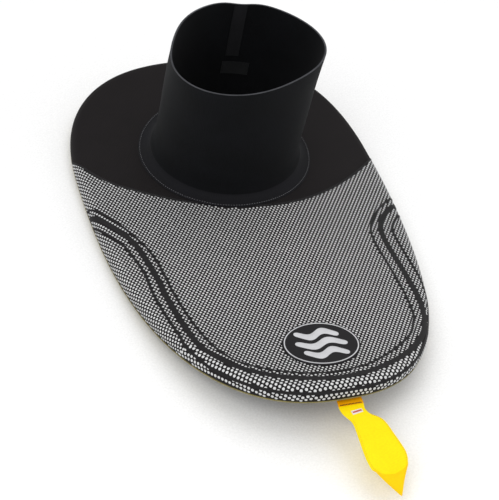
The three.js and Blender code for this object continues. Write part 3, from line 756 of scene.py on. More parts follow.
def repeat_tree(kind: Repeat, finish: Finish) -> bpy.types.NodeTree:
    """Builds the tree that sews stitches along a line, or prints a dot on each point.

    Args:
        kind: which of the two.
        finish: the material of what it makes.

    Returns:
        The node tree, with named inputs for its sizes.
    """
    tree = bpy.data.node_groups.new(f"{kind.name.lower()}_{finish.name}", "GeometryNodeTree")
    tree.is_modifier = True
    tree.interface.new_socket("Geometry", in_out="INPUT", socket_type="NodeSocketGeometry")
    for name in ("Radius", "Length", "Pitch"):
        tree.interface.new_socket(name, in_out="INPUT", socket_type="NodeSocketFloat")
    tree.interface.new_socket("Geometry", in_out="OUTPUT", socket_type="NodeSocketGeometry")
    given = add(tree, "NodeGroupInput").outputs
    if kind is Repeat.STITCH:
        curve = add(tree, "GeometryNodeMeshToCurve", Mesh=given["Geometry"]).outputs["Curve"]
        even = add(tree, "GeometryNodeResampleCurve", {"mode": "LENGTH"}, Curve=curve, Length=given["Pitch"])
        points = add(tree, "GeometryNodeCurveToPoints", {"mode": "EVALUATED"}, Curve=even.outputs["Curve"])
        where, turned = points.outputs["Points"], points.outputs["Rotation"]
        shape = add(tree, "GeometryNodeMeshIcoSphere", Radius=given["Radius"], Subdivisions=1)
        long = add(tree, MATH, DIVIDE, given["Length"], given["Radius"]).outputs[0]
        half = add(tree, MATH, MULTIPLY, long, 0.5).outputs[0]
        scale = add(tree, "ShaderNodeCombineXYZ", None, 1.0, 1.0, half)
    else:
        top = add(tree, MATH, MULTIPLY, given["Radius"], DOT_TOP).outputs[0]
        shape = add(tree, "GeometryNodeMeshCone", {"fill_type": "NGON"}, Vertices=8, Depth=given["Length"],
                    **{"Radius Top": top, "Radius Bottom": given["Radius"]})
        normal = add(tree, "GeometryNodeInputNamedAttribute", {"data_type": "FLOAT_VECTOR"}, Name="normal")
        girth = add(tree, "GeometryNodeInputNamedAttribute", {"data_type": "FLOAT"}, Name="girth")
        wide = girth.outputs["Attribute"]
        where = given["Geometry"]
        turned = add(tree, "FunctionNodeAlignRotationToVector", {"axis": "Z"},
                     Vector=normal.outputs["Attribute"]).outputs["Rotation"]
        scale = add(tree, "ShaderNodeCombineXYZ", None, wide, wide, 1.0)
    placed = add(tree, "GeometryNodeInstanceOnPoints", Points=where, Instance=shape.outputs["Mesh"],
                 Rotation=turned, Scale=scale.outputs[0])
    whole = add(tree, "GeometryNodeRealizeInstances", Geometry=placed.outputs["Instances"])
    soft = add(tree, "GeometryNodeSetShadeSmooth", Geometry=whole.outputs["Geometry"],
               **{"Shade Smooth": kind is Repeat.STITCH})
    done = add(tree, "GeometryNodeSetMaterial", Geometry=soft.outputs["Geometry"], Material=finish.material())
    add(tree, "NodeGroupOutput", Geometry=done.outputs["Geometry"])
    return tree


def repeated(
    name: str, seed_mesh: bpy.types.Mesh, tree: bpy.types.NodeTree, sizes: dict[str, float]
) -> bpy.types.Object:
    """Runs a tree on a mesh and keeps the result as a plain mesh.

    Args:
        name: the piece's name.
        seed_mesh: the line or points that the tree works on.
        tree: the Geometry Nodes tree.
        sizes: its named inputs, in millimetres.

    Returns:
        The object.
    """
    source = link(f"{name}_seed", seed_mesh)
    modifier = source.modifiers.new("repeat", "NODES")
    modifier.node_group = tree
    for item in tree.interface.items_tree:
        if item.name in sizes:
            modifier[item.identifier] = sizes[item.name] * MM
    bpy.context.view_layer.update()
    graph = bpy.context.evaluated_depsgraph_get()
    mesh = bpy.data.meshes.new_from_object(source.evaluated_get(graph), depsgraph=graph)
    source.modifiers.clear()
    bpy.data.objects.remove(source)
    mesh.name = name
    return link(name, mesh)


@dataclass(frozen=True)
class Stitching:
    """A row of stitches in one thread."""

    finish: Finish
    pitch: float = 4.2
    length: float = 3.0
    radius: float = 0.4

    def sew(self, name: str, rows: list[np.ndarray]) -> bpy.types.Object:
        """Sews along rows of points.

        Args:
            name: the piece's name.
            rows: each row's points, in the deck's plan frame.

        Returns:
            The stitches as one object.
        """
        points, edges = [], []
        for row in rows:
            start = len(points)
            points.extend(place(row).tolist())
            edges.extend((start + i, start + i + 1) for i in range(len(row) - 1))
        mesh = bpy.data.meshes.new(f"{name}_line")
        mesh.from_pydata(points, edges, [])
        sizes = {"Radius": self.radius, "Length": self.length, "Pitch": self.pitch}
        return repeated(name, mesh, repeat_tree(Repeat.STITCH, self.finish), sizes)


def settle(piece: bpy.types.Object, body: str, slot: str, *nodes: str) -> bpy.types.Object:
    """Says which body a finished piece rides on and which nodes it stands for.

    Args:
        piece: the piece.
        body: the body that it rides on.
        slot: the material slot that its finish belongs to; not used.
        nodes: the CAD nodes that it replaces.

    Returns:
        The piece.
    """
    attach(piece, body)
    if nodes:
        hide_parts(*nodes)
    LOG.info("%s: %d faces on %s", piece.name, len(piece.data.polygons), body)
    return piece


# ---- Deck -----------------------------------------------------------------------------------------


@dataclass
class DeckPanels:
    """The two neoprene panels, split along the seam in front of the tube, with their rolled edge."""

    form: DeckForm = DECK
    hole: float = 130.0
    roll_turn: float = 198.0  # degrees that the sheet goes round the edge
    count: int = 288
    probe: int = 900  # places along each station at which the seam is looked for
    beside_seam: tuple[float, ...] = (6.0, 4.0, 2.6, 1.5, 0.7, 0.0)  # closer rows shape the seam's groove
    seam_margin: float = 9.0  # the even rows stop this far from the seam

    def build(self) -> None:
        """Makes both panels."""
        rim, out = self.form.stations(self.count)
        middle = np.array([0, self.form.tube_y])
        away = rim - middle
        start = away / np.linalg.norm(away, axis=1)[:, None] * self.hole + middle
        flat = np.linalg.norm(rim - start, axis=1)
        whole = flat + np.radians(self.roll_turn) * self.form.roll

        def cloth(at: np.ndarray) -> np.ndarray:
            """Flat cloth places, from the hole outwards.

            Args:
                at: distances from the hole, one row per station.

            Returns:
                Stations by places by 2.
            """
            share = np.minimum(at, flat[:, None]) / flat[:, None]
            inner = start[:, None] + (rim - start)[:, None] * share[..., None]
            return inner + out[:, None] * np.maximum(at - flat[:, None], 0)[..., None]

        fine = np.linspace(0, 1, self.probe)[None] * whole[:, None]
        plan = cloth(fine)
        behind = plan[..., 1] > self.form.seam(plan[..., 0])
        first_ahead = np.take_along_axis(fine, np.argmin(behind, 1)[:, None], 1)[:, 0]
        cross = np.where(behind.all(1), whole, first_ahead)
        seam, edge = cross[:, None], flat[:, None]
        near, margin = np.array(self.beside_seam), self.seam_margin
        on_deck = seam < edge
        begin = np.maximum(seam, edge)
        to_seam = np.concatenate([np.linspace(0, 1, 24)[None] * (seam - margin), seam - near], 1)
        rear_deck = np.where(on_deck, to_seam, np.linspace(0, 1, 30)[None] * edge)
        rear_roll = edge + np.linspace(0, 1, 19)[None, 1:] * (begin - edge)
        rear = np.concatenate([rear_deck, np.where(on_deck, seam, rear_roll)], 1)
        onwards = seam + margin + np.linspace(0, 1, 26)[None] * (edge - seam - margin)
        front_deck = np.where(on_deck, np.concatenate([seam + near[::-1], onwards], 1), seam)
        front_roll = begin + np.linspace(0, 1, 22)[None, 1:] * (whole[:, None] - begin)
        front = np.concatenate([np.clip(front_deck, seam, begin), front_roll], 1)
        self._panel("deck_rear_cloth", cloth(rear), None, JERSEY, "black_neoprene", "deck_rear_panel")
        there = np.where(cross < whole - 1e-6)[0]
        span = np.arange(there[0] - 1, there[-1] + 2)
        if there[-1] - there[0] + 1 != len(there):  # the run of front stations passes the table's start
            first = np.where(np.diff(there) > 1)[0][0]
            span = np.concatenate([there[first + 1 :] - self.count, there[: first + 1]])
            span = np.arange(span[0] - 1, span[-1] + 2)
        self._panel("deck_front_cloth", cloth(front), span % self.count, PRINT_GROUND, "printed_neoprene",
                    "deck_front_panel")

    def _panel(
        self, name: str, plan: np.ndarray, span: np.ndarray | None, finish: Finish, slot: str, node: str
    ) -> None:
        """Args:
            name: the piece's name.
            plan: stations by rows by 2 places on the flat cloth.
            span: the stations that it covers, or None for a panel that goes all round.
            finish: its material.
            slot: its material slot.
            node: the CAD node that it replaces.
        """
        plan = plan if span is None else plan[span]
        turn = np.roll(plan, -1, axis=0) if span is None else plan[1:]
        rows, columns = plan.shape[:2]
        face = self.form.lay(plan.reshape(-1, 2)).reshape(rows, columns, 3)
        lining = self.form.lay(plan.reshape(-1, 2), -self.form.sheet).reshape(rows, columns, 3)
        piece = loft(name, np.concatenate([face, lining[:, ::-1]], 1), span is None, finish)
        settle(piece, "deck", slot, node)


@dataclass
class Edge:
    """What runs round the rolled edge: wear guard, elastic cord, its crimp and sleeve, and their stitches."""

    form: DeckForm = DECK
    count: int = 256
    guard_from: float = 29.8
    guard_to: float = 49.2
    guard_gap: float = 0.3
    guard_thickness: float = 1.2
    cord_radius: float = 4.5
    cord_orbit: float = 5.1
    cord_angle: float = -75.0
    channel: float = 6.3
    sleeve: float = 1.5
    sleeve_open: float = 62.0
    stitch_insets: tuple[float, float] = (2.2, 2.0)  # of the stitch rows, from the guard's two edges
    stitch_lift: float = 1.25

    def build(self) -> None:
        """Makes each run."""
        rim, out = self.form.stations(self.count)
        at = np.linspace(self.guard_from, self.guard_to, 11)
        plan = rim[:, None] + out[:, None] * at[None, :, None]
        ease = np.array([0.5, *([1.0] * 9), 0.5])
        low = self._laid(plan, self.guard_gap)
        high = self._laid(plan, self.guard_gap + self.guard_thickness * np.tile(ease, self.count))
        guard = loft("edge_guard_strip", np.concatenate([high, low[:, ::-1]], 1), True, ARAMID)
        settle(guard, "deck", "aramid_edge", "edge_guard")
        centre = np.column_stack([rim, self.form.edge_height(*rim.T) - self.form.roll])
        away = np.column_stack([out, np.zeros(self.count)])
        middle = self._round(centre, away, self.cord_orbit, np.array([self.cord_angle]))[:, 0]
        cord = self._round(middle, away, self.cord_radius, np.linspace(0, 360, 17)[:-1])
        settle(loft("shock_cord", cord, True, BRAID), "deck", "elastic_cord", "elastic_cord")
        turn = self.cord_angle + np.linspace(self.sleeve_open, 360 - self.sleeve_open, 17)
        mouth = self.channel + self.sleeve
        sleeve = np.concatenate([self._round(middle, away, mouth, turn),
                                 self._round(middle, away, self.channel, turn[::-1])], 1)
        settle(loft("cord_sleeve_tape", sleeve, True, TAPE), "deck", "seam_tape", "cord_sleeve")
        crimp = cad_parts["cord_crimp"].data
        crimp.materials.clear()
        crimp.materials.append(CRIMP_STEEL.material())
        rows = []
        for run in (self.guard_from + self.stitch_insets[0], self.guard_to - self.stitch_insets[1]):
            line = self.form.lay(rim + out * run, self.stitch_lift)
            rows.append(np.vstack([line, line[:1]]))
        settle(Stitching(THREAD_BLACK, 5.0, 3.6).sew("edge_guard_stitches", rows), "deck", "aramid_edge")

    def _laid(self, plan: np.ndarray, lift: np.ndarray | float) -> np.ndarray:
        """Lays a grid of cloth places."""
        return self.form.lay(plan.reshape(-1, 2), lift).reshape(*plan.shape[:2], 3)

    @staticmethod
    def _round(centre: np.ndarray, away: np.ndarray, radius: float, degrees: np.ndarray) -> np.ndarray:
        """Finds points round each centre in the edge's section.

        Args:
            centre: n by 3 centres.
            away: the outward direction at each.
            radius: their distance from the centre.
            degrees: the angles to place them at, from outwards towards up.

        Returns:
            n by m by 3 points.
        """
        turn = np.radians(degrees)[None, :, None]
        up = np.array([0, 0, 1.0])
        return centre[:, None] + radius * (np.cos(turn) * away[:, None] + np.sin(turn) * up)


# Paths of the printed lines, in plan millimetres of the row frame, on the flat cloth.
WIDE_LINE = [
    (-292, 158), (-264, 147), (-248, 131), (-235, 114), (-223, 95), (-212, 73), (-205, 53), (-200, 26),
    (-196, 0), (-192, -37), (-191, -64), (-187, -106), (-182, -146), (-175, -188), (-167, -208),
    (-156, -228), (-137, -255), (-110, -279), (-80, -298), (-50, -310), (-20, -318), (5, -320),
    (35, -318), (65, -310), (98, -296), (127, -278), (155, -252), (174, -225), (187, -192), (195, -150),
    (198, -100), (198, -50), (198, 0), (203, 28), (215, 50), (231, 68), (248, 80), (286, 94),
]
INNER_LINE = [
    (-292, 180), (-264, 167), (-246, 151), (-231, 131), (-220, 111), (-208, 89), (-198, 65), (-190, 43),
    (-184, 15), (-181, -12), (-179, -48), (-175, -91), (-168, -140), (-157, -190), (-142, -228),
    (-124, -252), (-87, -280), (-50, -297), (-20, -304), (5, -305), (50, -299), (100, -274), (140, -243),
    (160, -213), (168, -196), (176, -150), (179, -100), (179, -50), (179, 0), (184, 25), (198, 50),
    (219, 76), (249, 99), (286, 116),
]
OUTER_LEFT = [
    (-292, 140), (-266, 126), (-247, 99), (-235, 81), (-224, 59), (-217, 32), (-212, 9), (-209, -12),
    (-208, -58), (-204, -101), (-199, -138), (-195, -166), (-192, -192),
]
OUTER_RIGHT = [
    (212, -160), (217, -130), (219, -100), (219, -50), (219, 0), (223, 25), (241, 50), (258, 62), (286, 76),
]


@dataclass
class Print:
    """The grip print: three lines and the dots between them."""

    form: DeckForm = DECK
    wide: float = 9.6
    thin: float = 4.2
    outer: float = 4.8
    line_height: float = 0.62
    dot_height: float = 0.35
    dot_sink: float = 0.06
    line_sink: float = 0.15
    line_edge: float = 0.25  # width over which a line rises from the cloth
    line_step: float = 3.0
    seam_bead: float = 4.0
    bow_arc: tuple[float, float] = (-128.0, -47.0)  # degrees between which the outer line follows the bow
    outer_inset: float = 1.0  # the outer line follows the bow this far inside its outermost line
    field_step: tuple[float, float] = (6.42, 4.66)
    field_radius: float = 1.92
    bow_step: tuple[float, float] = (7.6, 5.4)
    bow_radius: float = 2.42
    bow_ahead: float = -190.0
    cloth_end: float = 29.0
    toe: float = 150.0
    reach: tuple[float, float] = (-320.0, 320.0)  # of the lattice, across
    length: tuple[float, float] = (-700.0, 120.0)  # and along
    seed: int = 7

    def build(self) -> None:
        """Makes the lines, then the dots that they leave free."""
        paths = [from_frame(WIDE_LINE), from_frame(INNER_LINE), self._outer_path()]
        widths = (self.wide, self.thin, self.outer)
        lines = [(rounded(path, self.line_step), width) for path, width in zip(paths, widths)]
        for name, (path, width) in zip(("print_line_wide", "print_line_inner", "print_line_outer"), lines):
            settle(self._ribbon(name, path, width), "deck", "printed_neoprene")
        x = np.linspace(-290, 290, 260)
        along = self.form.seam(x) + self.seam_bead / 2 - 0.3
        bead = rounded(np.column_stack([x, along]), self.line_step)
        bead = bead[self.form.past_edge(bead) < self.cloth_end]
        bead = bead[np.hypot(bead[:, 0], bead[:, 1] - self.form.tube_y) > self.toe]
        left = bead[bead[:, 0] < self.form.seam_apex]
        right = bead[bead[:, 0] > self.form.seam_apex]
        for side, part in (("left", left), ("right", right)):
            settle(self._ribbon(f"seam_bead_{side}", part, self.seam_bead), "deck", "black_neoprene")
        field, bow = self._lattice(*self.field_step), self._lattice(*self.bow_step)
        ahead = self.bow_ahead - ORIGIN[1]
        field = field[~(self._outside(field, lines[0][0]) & (field[:, 1] < ahead))]
        bow = bow[self._outside(bow, lines[0][0]) & (bow[:, 1] < ahead)]
        field, bow = self._free(field, lines, self.field_radius), self._free(bow, lines, self.bow_radius)
        port = field[:, 0] < 0
        for side, places, radius in (("left", field[port], self.field_radius),
                                     ("right", field[~port], self.field_radius),
                                     ("bow", bow, self.bow_radius)):
            settle(self._dots(f"print_dots_{side}", places, radius), "deck", "printed_neoprene")

    def _outer_path(self) -> np.ndarray:
        """The outer line: across the cloth at each side, and round the rolled bow between.

        Returns:
            n by 2 places on the flat cloth.
        """
        turn = np.radians(np.linspace(*self.bow_arc, 40))
        rim = self.form.outline(turn)
        before, after = self.form.outline(turn - 1e-3), self.form.outline(turn + 1e-3)
        step = after - before
        out = np.stack([step[:, 1], -step[:, 0]], 1) / np.linalg.norm(step, axis=1)[:, None]
        return np.vstack([from_frame(OUTER_LEFT), rim - self.outer_inset * out, from_frame(OUTER_RIGHT)])

    def _ribbon(self, name: str, path: np.ndarray, width: float) -> bpy.types.Object:
        """Makes a thick printed line along a path on the cloth.

        Args:
            name: the piece's name.
            path: the line's middle.
            width: its width.

        Returns:
            The object.
        """
        ahead = np.gradient(path, axis=0)
        side = np.stack([ahead[:, 1], -ahead[:, 0]], 1) / np.linalg.norm(ahead, axis=1)[:, None]
        half, edge = width / 2, self.line_edge
        across = np.array([-half, -half + edge, -half / 3, half / 3, half - edge, half, half / 3, -half / 3])
        raised = np.array([0.0, 1, 1, 1, 1, 0, 0, 0])
        lift = raised * (self.line_height + self.line_sink) - self.line_sink
        plan = path[:, None] + side[:, None] * across[None, :, None]
        laid = self.form.lay(plan.reshape(-1, 2), np.tile(lift, len(path)))
        return loft(name, laid.reshape(len(path), len(across), 3), False, LINE_PRINT)

    def _lattice(self, across: float, along: float) -> np.ndarray:
        """Staggered rows of places over the whole front of the cloth.

        Args:
            across: distance between the places of a row.
            along: distance between rows.

        Returns:
            n by 2 places on the flat cloth.
        """
        row = np.arange(*self.reach, across)
        places = [np.column_stack([row + (i % 2) * across / 2, np.full(len(row), y)])
                  for i, y in enumerate(np.arange(*self.length, along))]
        return np.vstack(places)

    def _outside(self, places: np.ndarray, path: np.ndarray) -> np.ndarray:
        """Which places lie between a line and the deck's edge."""
        past_path = self.form.past_edge(path)
        return self.form.past_edge(places) > past_path[nearest(places, path)[0]]

    def _free(self, places: np.ndarray, lines: list[tuple[np.ndarray, float]], radius: float) -> np.ndarray:
        """Leaves out places off the panel, under a line, under the badge or under the tube's foot.

        Args:
            places: n by 2 places on the cloth.
            lines: each printed line's path and width.
            radius: a dot's radius.

        Returns:
            The places that stay.
        """
        past = self.form.past_edge(places)
        x, y = places.T
        keep = (past < self.cloth_end - radius) & (y < self.form.seam(x) + radius * 0.3)
        keep &= np.hypot(x, y - self.form.tube_y) > self.toe + radius * 0.5
        keep &= (x / Badge.half_width) ** 2 + ((y - Badge.along) / Badge.half_length) ** 2 > 0.96
        for path, width in lines:
            keep &= nearest(places, path)[1] > width / 2 - radius * 0.3
        return places[keep]

    def _dots(self, name: str, places: np.ndarray, radius: float) -> bpy.types.Object:
        """Prints a low round dot at each place.

        Args:
            name: the piece's name.
            places: n by 2 places on the cloth.
            radius: a dot's radius.

        Returns:
            The dots as one object.
        """
        points, normals = self.form.lay_with_normals(places, -self.dot_sink)
        girth = 1 + 0.02 * np.random.default_rng(self.seed).standard_normal(len(places)).clip(-2, 2)
        mesh = bpy.data.meshes.new(f"{name}_places")
        mesh.from_pydata(place(points).tolist(), [], [])
        for kind, key, title, values in (("FLOAT_VECTOR", "vector", "normal", normals),
                                         ("FLOAT", "value", "girth", girth)):
            layer = mesh.attributes.new(title, kind, "POINT")
            layer.data.foreach_set(key, values.astype(np.float32).ravel())
        sizes = {"Radius": radius, "Length": self.dot_height}
        return repeated(name, mesh, repeat_tree(Repeat.DOT, GRIP_PRINT), sizes)


@dataclass
class Badge:
    """The oval rubber badge on the bow, with a plain ring and three waves."""

    along: float = -460.0
    half_length: float = 52.0
    half_width: float = 59.0
    top: float = 2.3
    ring_inset: float = 2.6
    ring_width: float = 1.7
    relief: float = 0.5
    bedding: float = 0.2  # the mark starts this far inside the backing
    wave_pitch: float = 23.0
    wave_width: float = 14.5
    wave_swing: float = 5.5
    wave_reach: float = 39.0

    def build(self) -> None:
        """Makes the backing, the ring and the waves."""
        turn = np.linspace(0, 2 * np.pi, 97)[:-1]
        top, inset = self.top, self.ring_inset
        profile = [(0.0, top), (0.35, top), (0.7, top), (0.9, top), (0.965, top - 0.1), (0.99, top - 0.5),
                   (1.0, top - 1.1), (1.0, 0.0), (0.97, -0.2), (0.5, -0.2), (0.0, -0.2)]
        plate = [(s * self.half_width, s * self.half_length, h) for s, h in profile]
        backing = self._turned("badge_backing_rubber", turn, plate, BADGE_RUBBER)
        settle(backing, "deck", "badge_rubber", "badge_backing")
        inner = inset + self.ring_width
        low, high = top - self.bedding, top + self.relief
        ring = [(inset, low), (inset, high - 0.2), (inset + 0.3, high), (inner - 0.3, high),
                (inner, high - 0.2), (inner, low)]
        shaped = [(self.half_width - i, self.half_length - i, h) for i, h in ring]
        marked = self._turned("badge_ring_rubber", turn, shaped, BADGE_MARK)
        settle(marked, "deck", "badge_mark", "badge_ring")
        for number in range(3):
            self._wave(number)

    def _turned(
        self, name: str, turn: np.ndarray, shape: list[tuple[float, float, float]], finish: Finish
    ) -> bpy.types.Object:
        """Makes a ring or plate round the badge's middle.

        Args:
            name: the piece's name.
            turn: the angles of its sections.
            shape: the section, as half-widths, half-lengths and lifts.
            finish: its material.

        Returns:
            The object.
        """
        plan = np.array([[(a * np.cos(t), self.along + b * np.sin(t)) for a, b, _ in shape] for t in turn])
        lift = np.tile([h for _, _, h in shape], len(turn))
        return loft(name, DECK.lay(plan.reshape(-1, 2), lift).reshape(len(turn), len(shape), 3), True, finish)

    def _wave(self, number: int) -> None:
        """Makes one wavy bar with rounded ends.

        Args:
            number: 0 to 2, from the bow.
        """
        share = np.sin(np.linspace(-np.pi / 2, np.pi / 2, 61))
        reach = self.wave_reach * (1.0 if number == 1 else 0.86)
        swing = self.wave_swing * np.sin(share * 1.5 * np.pi)
        middle = self.along + (number - 1) * self.wave_pitch + swing
        half = self.wave_width / 2 * np.maximum(0.02, 1 - np.abs(share) ** 7) ** 0.5
        across = np.array([-1, -0.93, 0, 0.93, 1, 1, 0, -1.0])
        low, high = self.top - self.bedding, self.top + self.relief
        lift = np.array([high - 0.25, high, high, high, high - 0.25, low, low, low])
        x = np.broadcast_to((share * reach)[:, None], (61, 8))
        plan = np.stack([x, middle[:, None] + half[:, None] * across], -1)
        laid = DECK.lay(plan.reshape(-1, 2), np.tile(lift, 61)).reshape(61, 8, 3)
        piece = loft(f"badge_wave_bar_{number + 1}", laid, False, BADGE_MARK)
        settle(piece, "deck", "badge_mark", f"badge_wave_{number + 1}")


# ---- Waist tube -----------------------------------------------------------------------------------


@dataclass
class WaistTube:
    """The tube: foot and neck in one piece, wall and rim in the other, and what is fixed to them."""

    form: TubeForm = TUBE
    count: int = 200
    joint_height: float = 49.0
    stitch_radius: float = 146.3
    flange_shown: float = 12.0  # below this the foot is the smoother flange, drawn lighter as painted highlight
    back_width: float = 22.0
    wall_flat: tuple[float, float] = (0.80, 0.19)  # metres, as cut
    blend_top: float = 88.0  # the wall bends from the joint up to here
    rim_depth: float = 1.1  # below the top, down to where the cut foam shows
    ring: tuple[float, float, float] = (124.0, 136.5, 1.2)  # the tape ring's radii and thickness
    ring_gap: float = 0.3

    def build(self) -> None:
        """Makes every piece of the tube."""
        bearing = np.linspace(0, 360, self.count + 1)[:-1]
        self._foot(bearing)
        self._wall(bearing)
        self._inside()
        row = self.form.point(self.stitch_radius, 2.95, np.append(bearing, 360.0))
        stitches = Stitching(THREAD_GREY, 4.4, 3.0, 0.42).sew("tube_foot_stitches", [row])
        settle(stitches, "deck", "tube_neoprene")
        near, far, thick = self.ring
        tape = [(near, 0.0), (far, 0.0), (far - 0.3, -thick), (near + 0.3, -thick)]
        turns = np.radians(bearing)
        plan = np.array([[(r * np.cos(t), DECK.tube_y + r * np.sin(t)) for r, _ in tape] for t in turns])
        drop = np.array([d for _, d in tape]) - DECK.sheet - self.ring_gap
        level = DECK.relaxed(plan[..., 0], plan[..., 1]) + drop
        hole = loft("hole_tape_ring", np.concatenate([plan, level[..., None]], 2), True, TAPE)
        settle(hole, "deck", "seam_tape", "base_tape")

    def _foot(self, bearing: np.ndarray) -> None:
        """Makes the flared foot and the neck over it.

        Args:
            bearing: the degrees of its sections.
        """
        form, toe, start = self.form, self.form.toe, self.form.foot_top
        neck = float(form.radius(start))
        lead = rounded(np.array([(toe - 0.2, 0.2), (toe, 1.6), (toe - 1.2, 2.7), (toe - 8, 3.4),
                                 (toe - 13.5, 5.2), (toe - 17, 7.8), (toe - 19.6, 11.4), (neck, start)]), 1.6)
        under = rounded(np.array([(neck - form.wall, start), (toe - 22.6, 10.2), (toe - 19, 5.2),
                                  (toe - 15, 1.6), (toe - 9, 0.2)]), 3.0)
        heights = np.linspace(start, self.joint_height, 16)
        outer = [*map(tuple, lead[:-1]), *((float(form.radius(h)), h) for h in heights)]
        inner = [*((float(form.radius(h)) - form.wall, h) for h in heights[::-1]), *map(tuple, under[1:])]
        foot = self._ring("waist_tube_foot", bearing, outer + inner, TUBE_JERSEY)
        # The flange takes the lighter jersey: painted highlight on the flare.
        self._dress(foot, FLANGE_JERSEY_PAINTED_HIGHLIGHT, (-np.inf, self.flange_shown))
        self._declare(foot, ("deck", "tube_neck"),
                      ("tube_flange", "tube_flex_lower", "neck_band"))

    def _wall(self, bearing: np.ndarray) -> None:
        """Makes the standing wall, up to the cut edge of its rim.

        Args:
            bearing: the degrees of its sections.
        """
        form = self.form
        heights = np.linspace(self.joint_height, form.height - 0.9, 46)
        rim = [(0.35, 0.9), (0.9, 0.25), (1.5, 0.0), (2.1, 0.25), (2.65, 0.9)]
        top = [(float(form.radius(form.height)) - inset, form.height - drop) for inset, drop in rim]
        outer = [(float(form.radius(h)), h) for h in heights]
        inner = [(float(form.radius(h)) - form.wall, h) for h in heights[::-1]]
        wall = self._ring("waist_tube_wall", bearing, outer + top + inner, TUBE_JERSEY)
        self._dress(wall, CUT_FOAM, (form.height - self.rim_depth, np.inf))
        self._declare(wall, ("tube_neck", "waist_tube"),
                      ("tube_flex_upper", "tube_wall"))

    @staticmethod
    def _dress(piece: bpy.types.Object, finish: Finish, heights: tuple[float, float]) -> None:
        """Gives some of a piece's faces a second finish.

        Args:
            piece: the piece.
            finish: the second finish.
            heights: the faces between these heights above the deck take it.
        """
        low, high = ((h + TUBE_BASE + ORIGIN[2]) * MM for h in heights)
        piece.data.materials.append(finish.material())
        for face in piece.data.polygons:
            face.material_index = 1 if low < face.center.z < high else 0

    def _ring(
        self, name: str, bearing: np.ndarray, section: list[tuple[float, float]], finish: Finish
    ) -> bpy.types.Object:
        """Makes a ring round the tube.

        Args:
            name: the piece's name.
            bearing: the degrees of its sections.
            section: the section, as radii and heights.
            finish: its material.

        Returns:
            The object.
        """
        radius, height = np.array(section).T
        return loft(name, self.form.point(radius[None], height[None], bearing[:, None]), True, finish)

    def _declare(
        self, piece: bpy.types.Object, bodies: tuple[str, str],
        nodes: tuple[str, ...]
    ) -> None:
        """Bakes a piece's transform, hides the CAD nodes that it replaces and logs the two bodies that it
        lies between.

        Args:
            piece: the piece.
            bodies: the body at its foot, and the one at its top.
            nodes: the CAD nodes that the piece replaces.
        """
        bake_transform(piece)
        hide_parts(*nodes)
        LOG.info("%s: %d faces between %s", piece.name, len(piece.data.polygons), " and ".join(bodies))

    def _inside(self) -> None:
        """The tape up the back seam and the label beside it."""
        form = self.form
        # name, bearing, width, lowest and highest edge, thickness, finish, slot and CAD node
        for name, bearing, width, low, high, thick, finish, slot, node in (
            ("back_seam_strip", 76.0, self.back_width, 125.0, 237.0, 1.0, TAPE, "seam_tape",
             "back_seam_tape"),
            ("size_label_patch", 72.0, 46.0, 84.0, 112.0, 0.8, LABEL_DARK, "woven_label", "size_label"),
        ):
            heights = np.linspace(low, high, 24)[:, None]
            surface = form.radius(heights) - form.wall - 0.05
            spread = np.degrees(width / (surface - 1)) * np.linspace(-0.5, 0.5, 9)[None]
            face = form.point(surface - thick, heights, bearing + spread)
            back = form.point(surface, heights, bearing + spread)
            strip = loft(name, np.concatenate([face, back[:, ::-1]], 1), False, finish)
            settle(strip, "waist_tube", slot, node)


# ---- Grab tab -------------------------------------------------------------------------------------


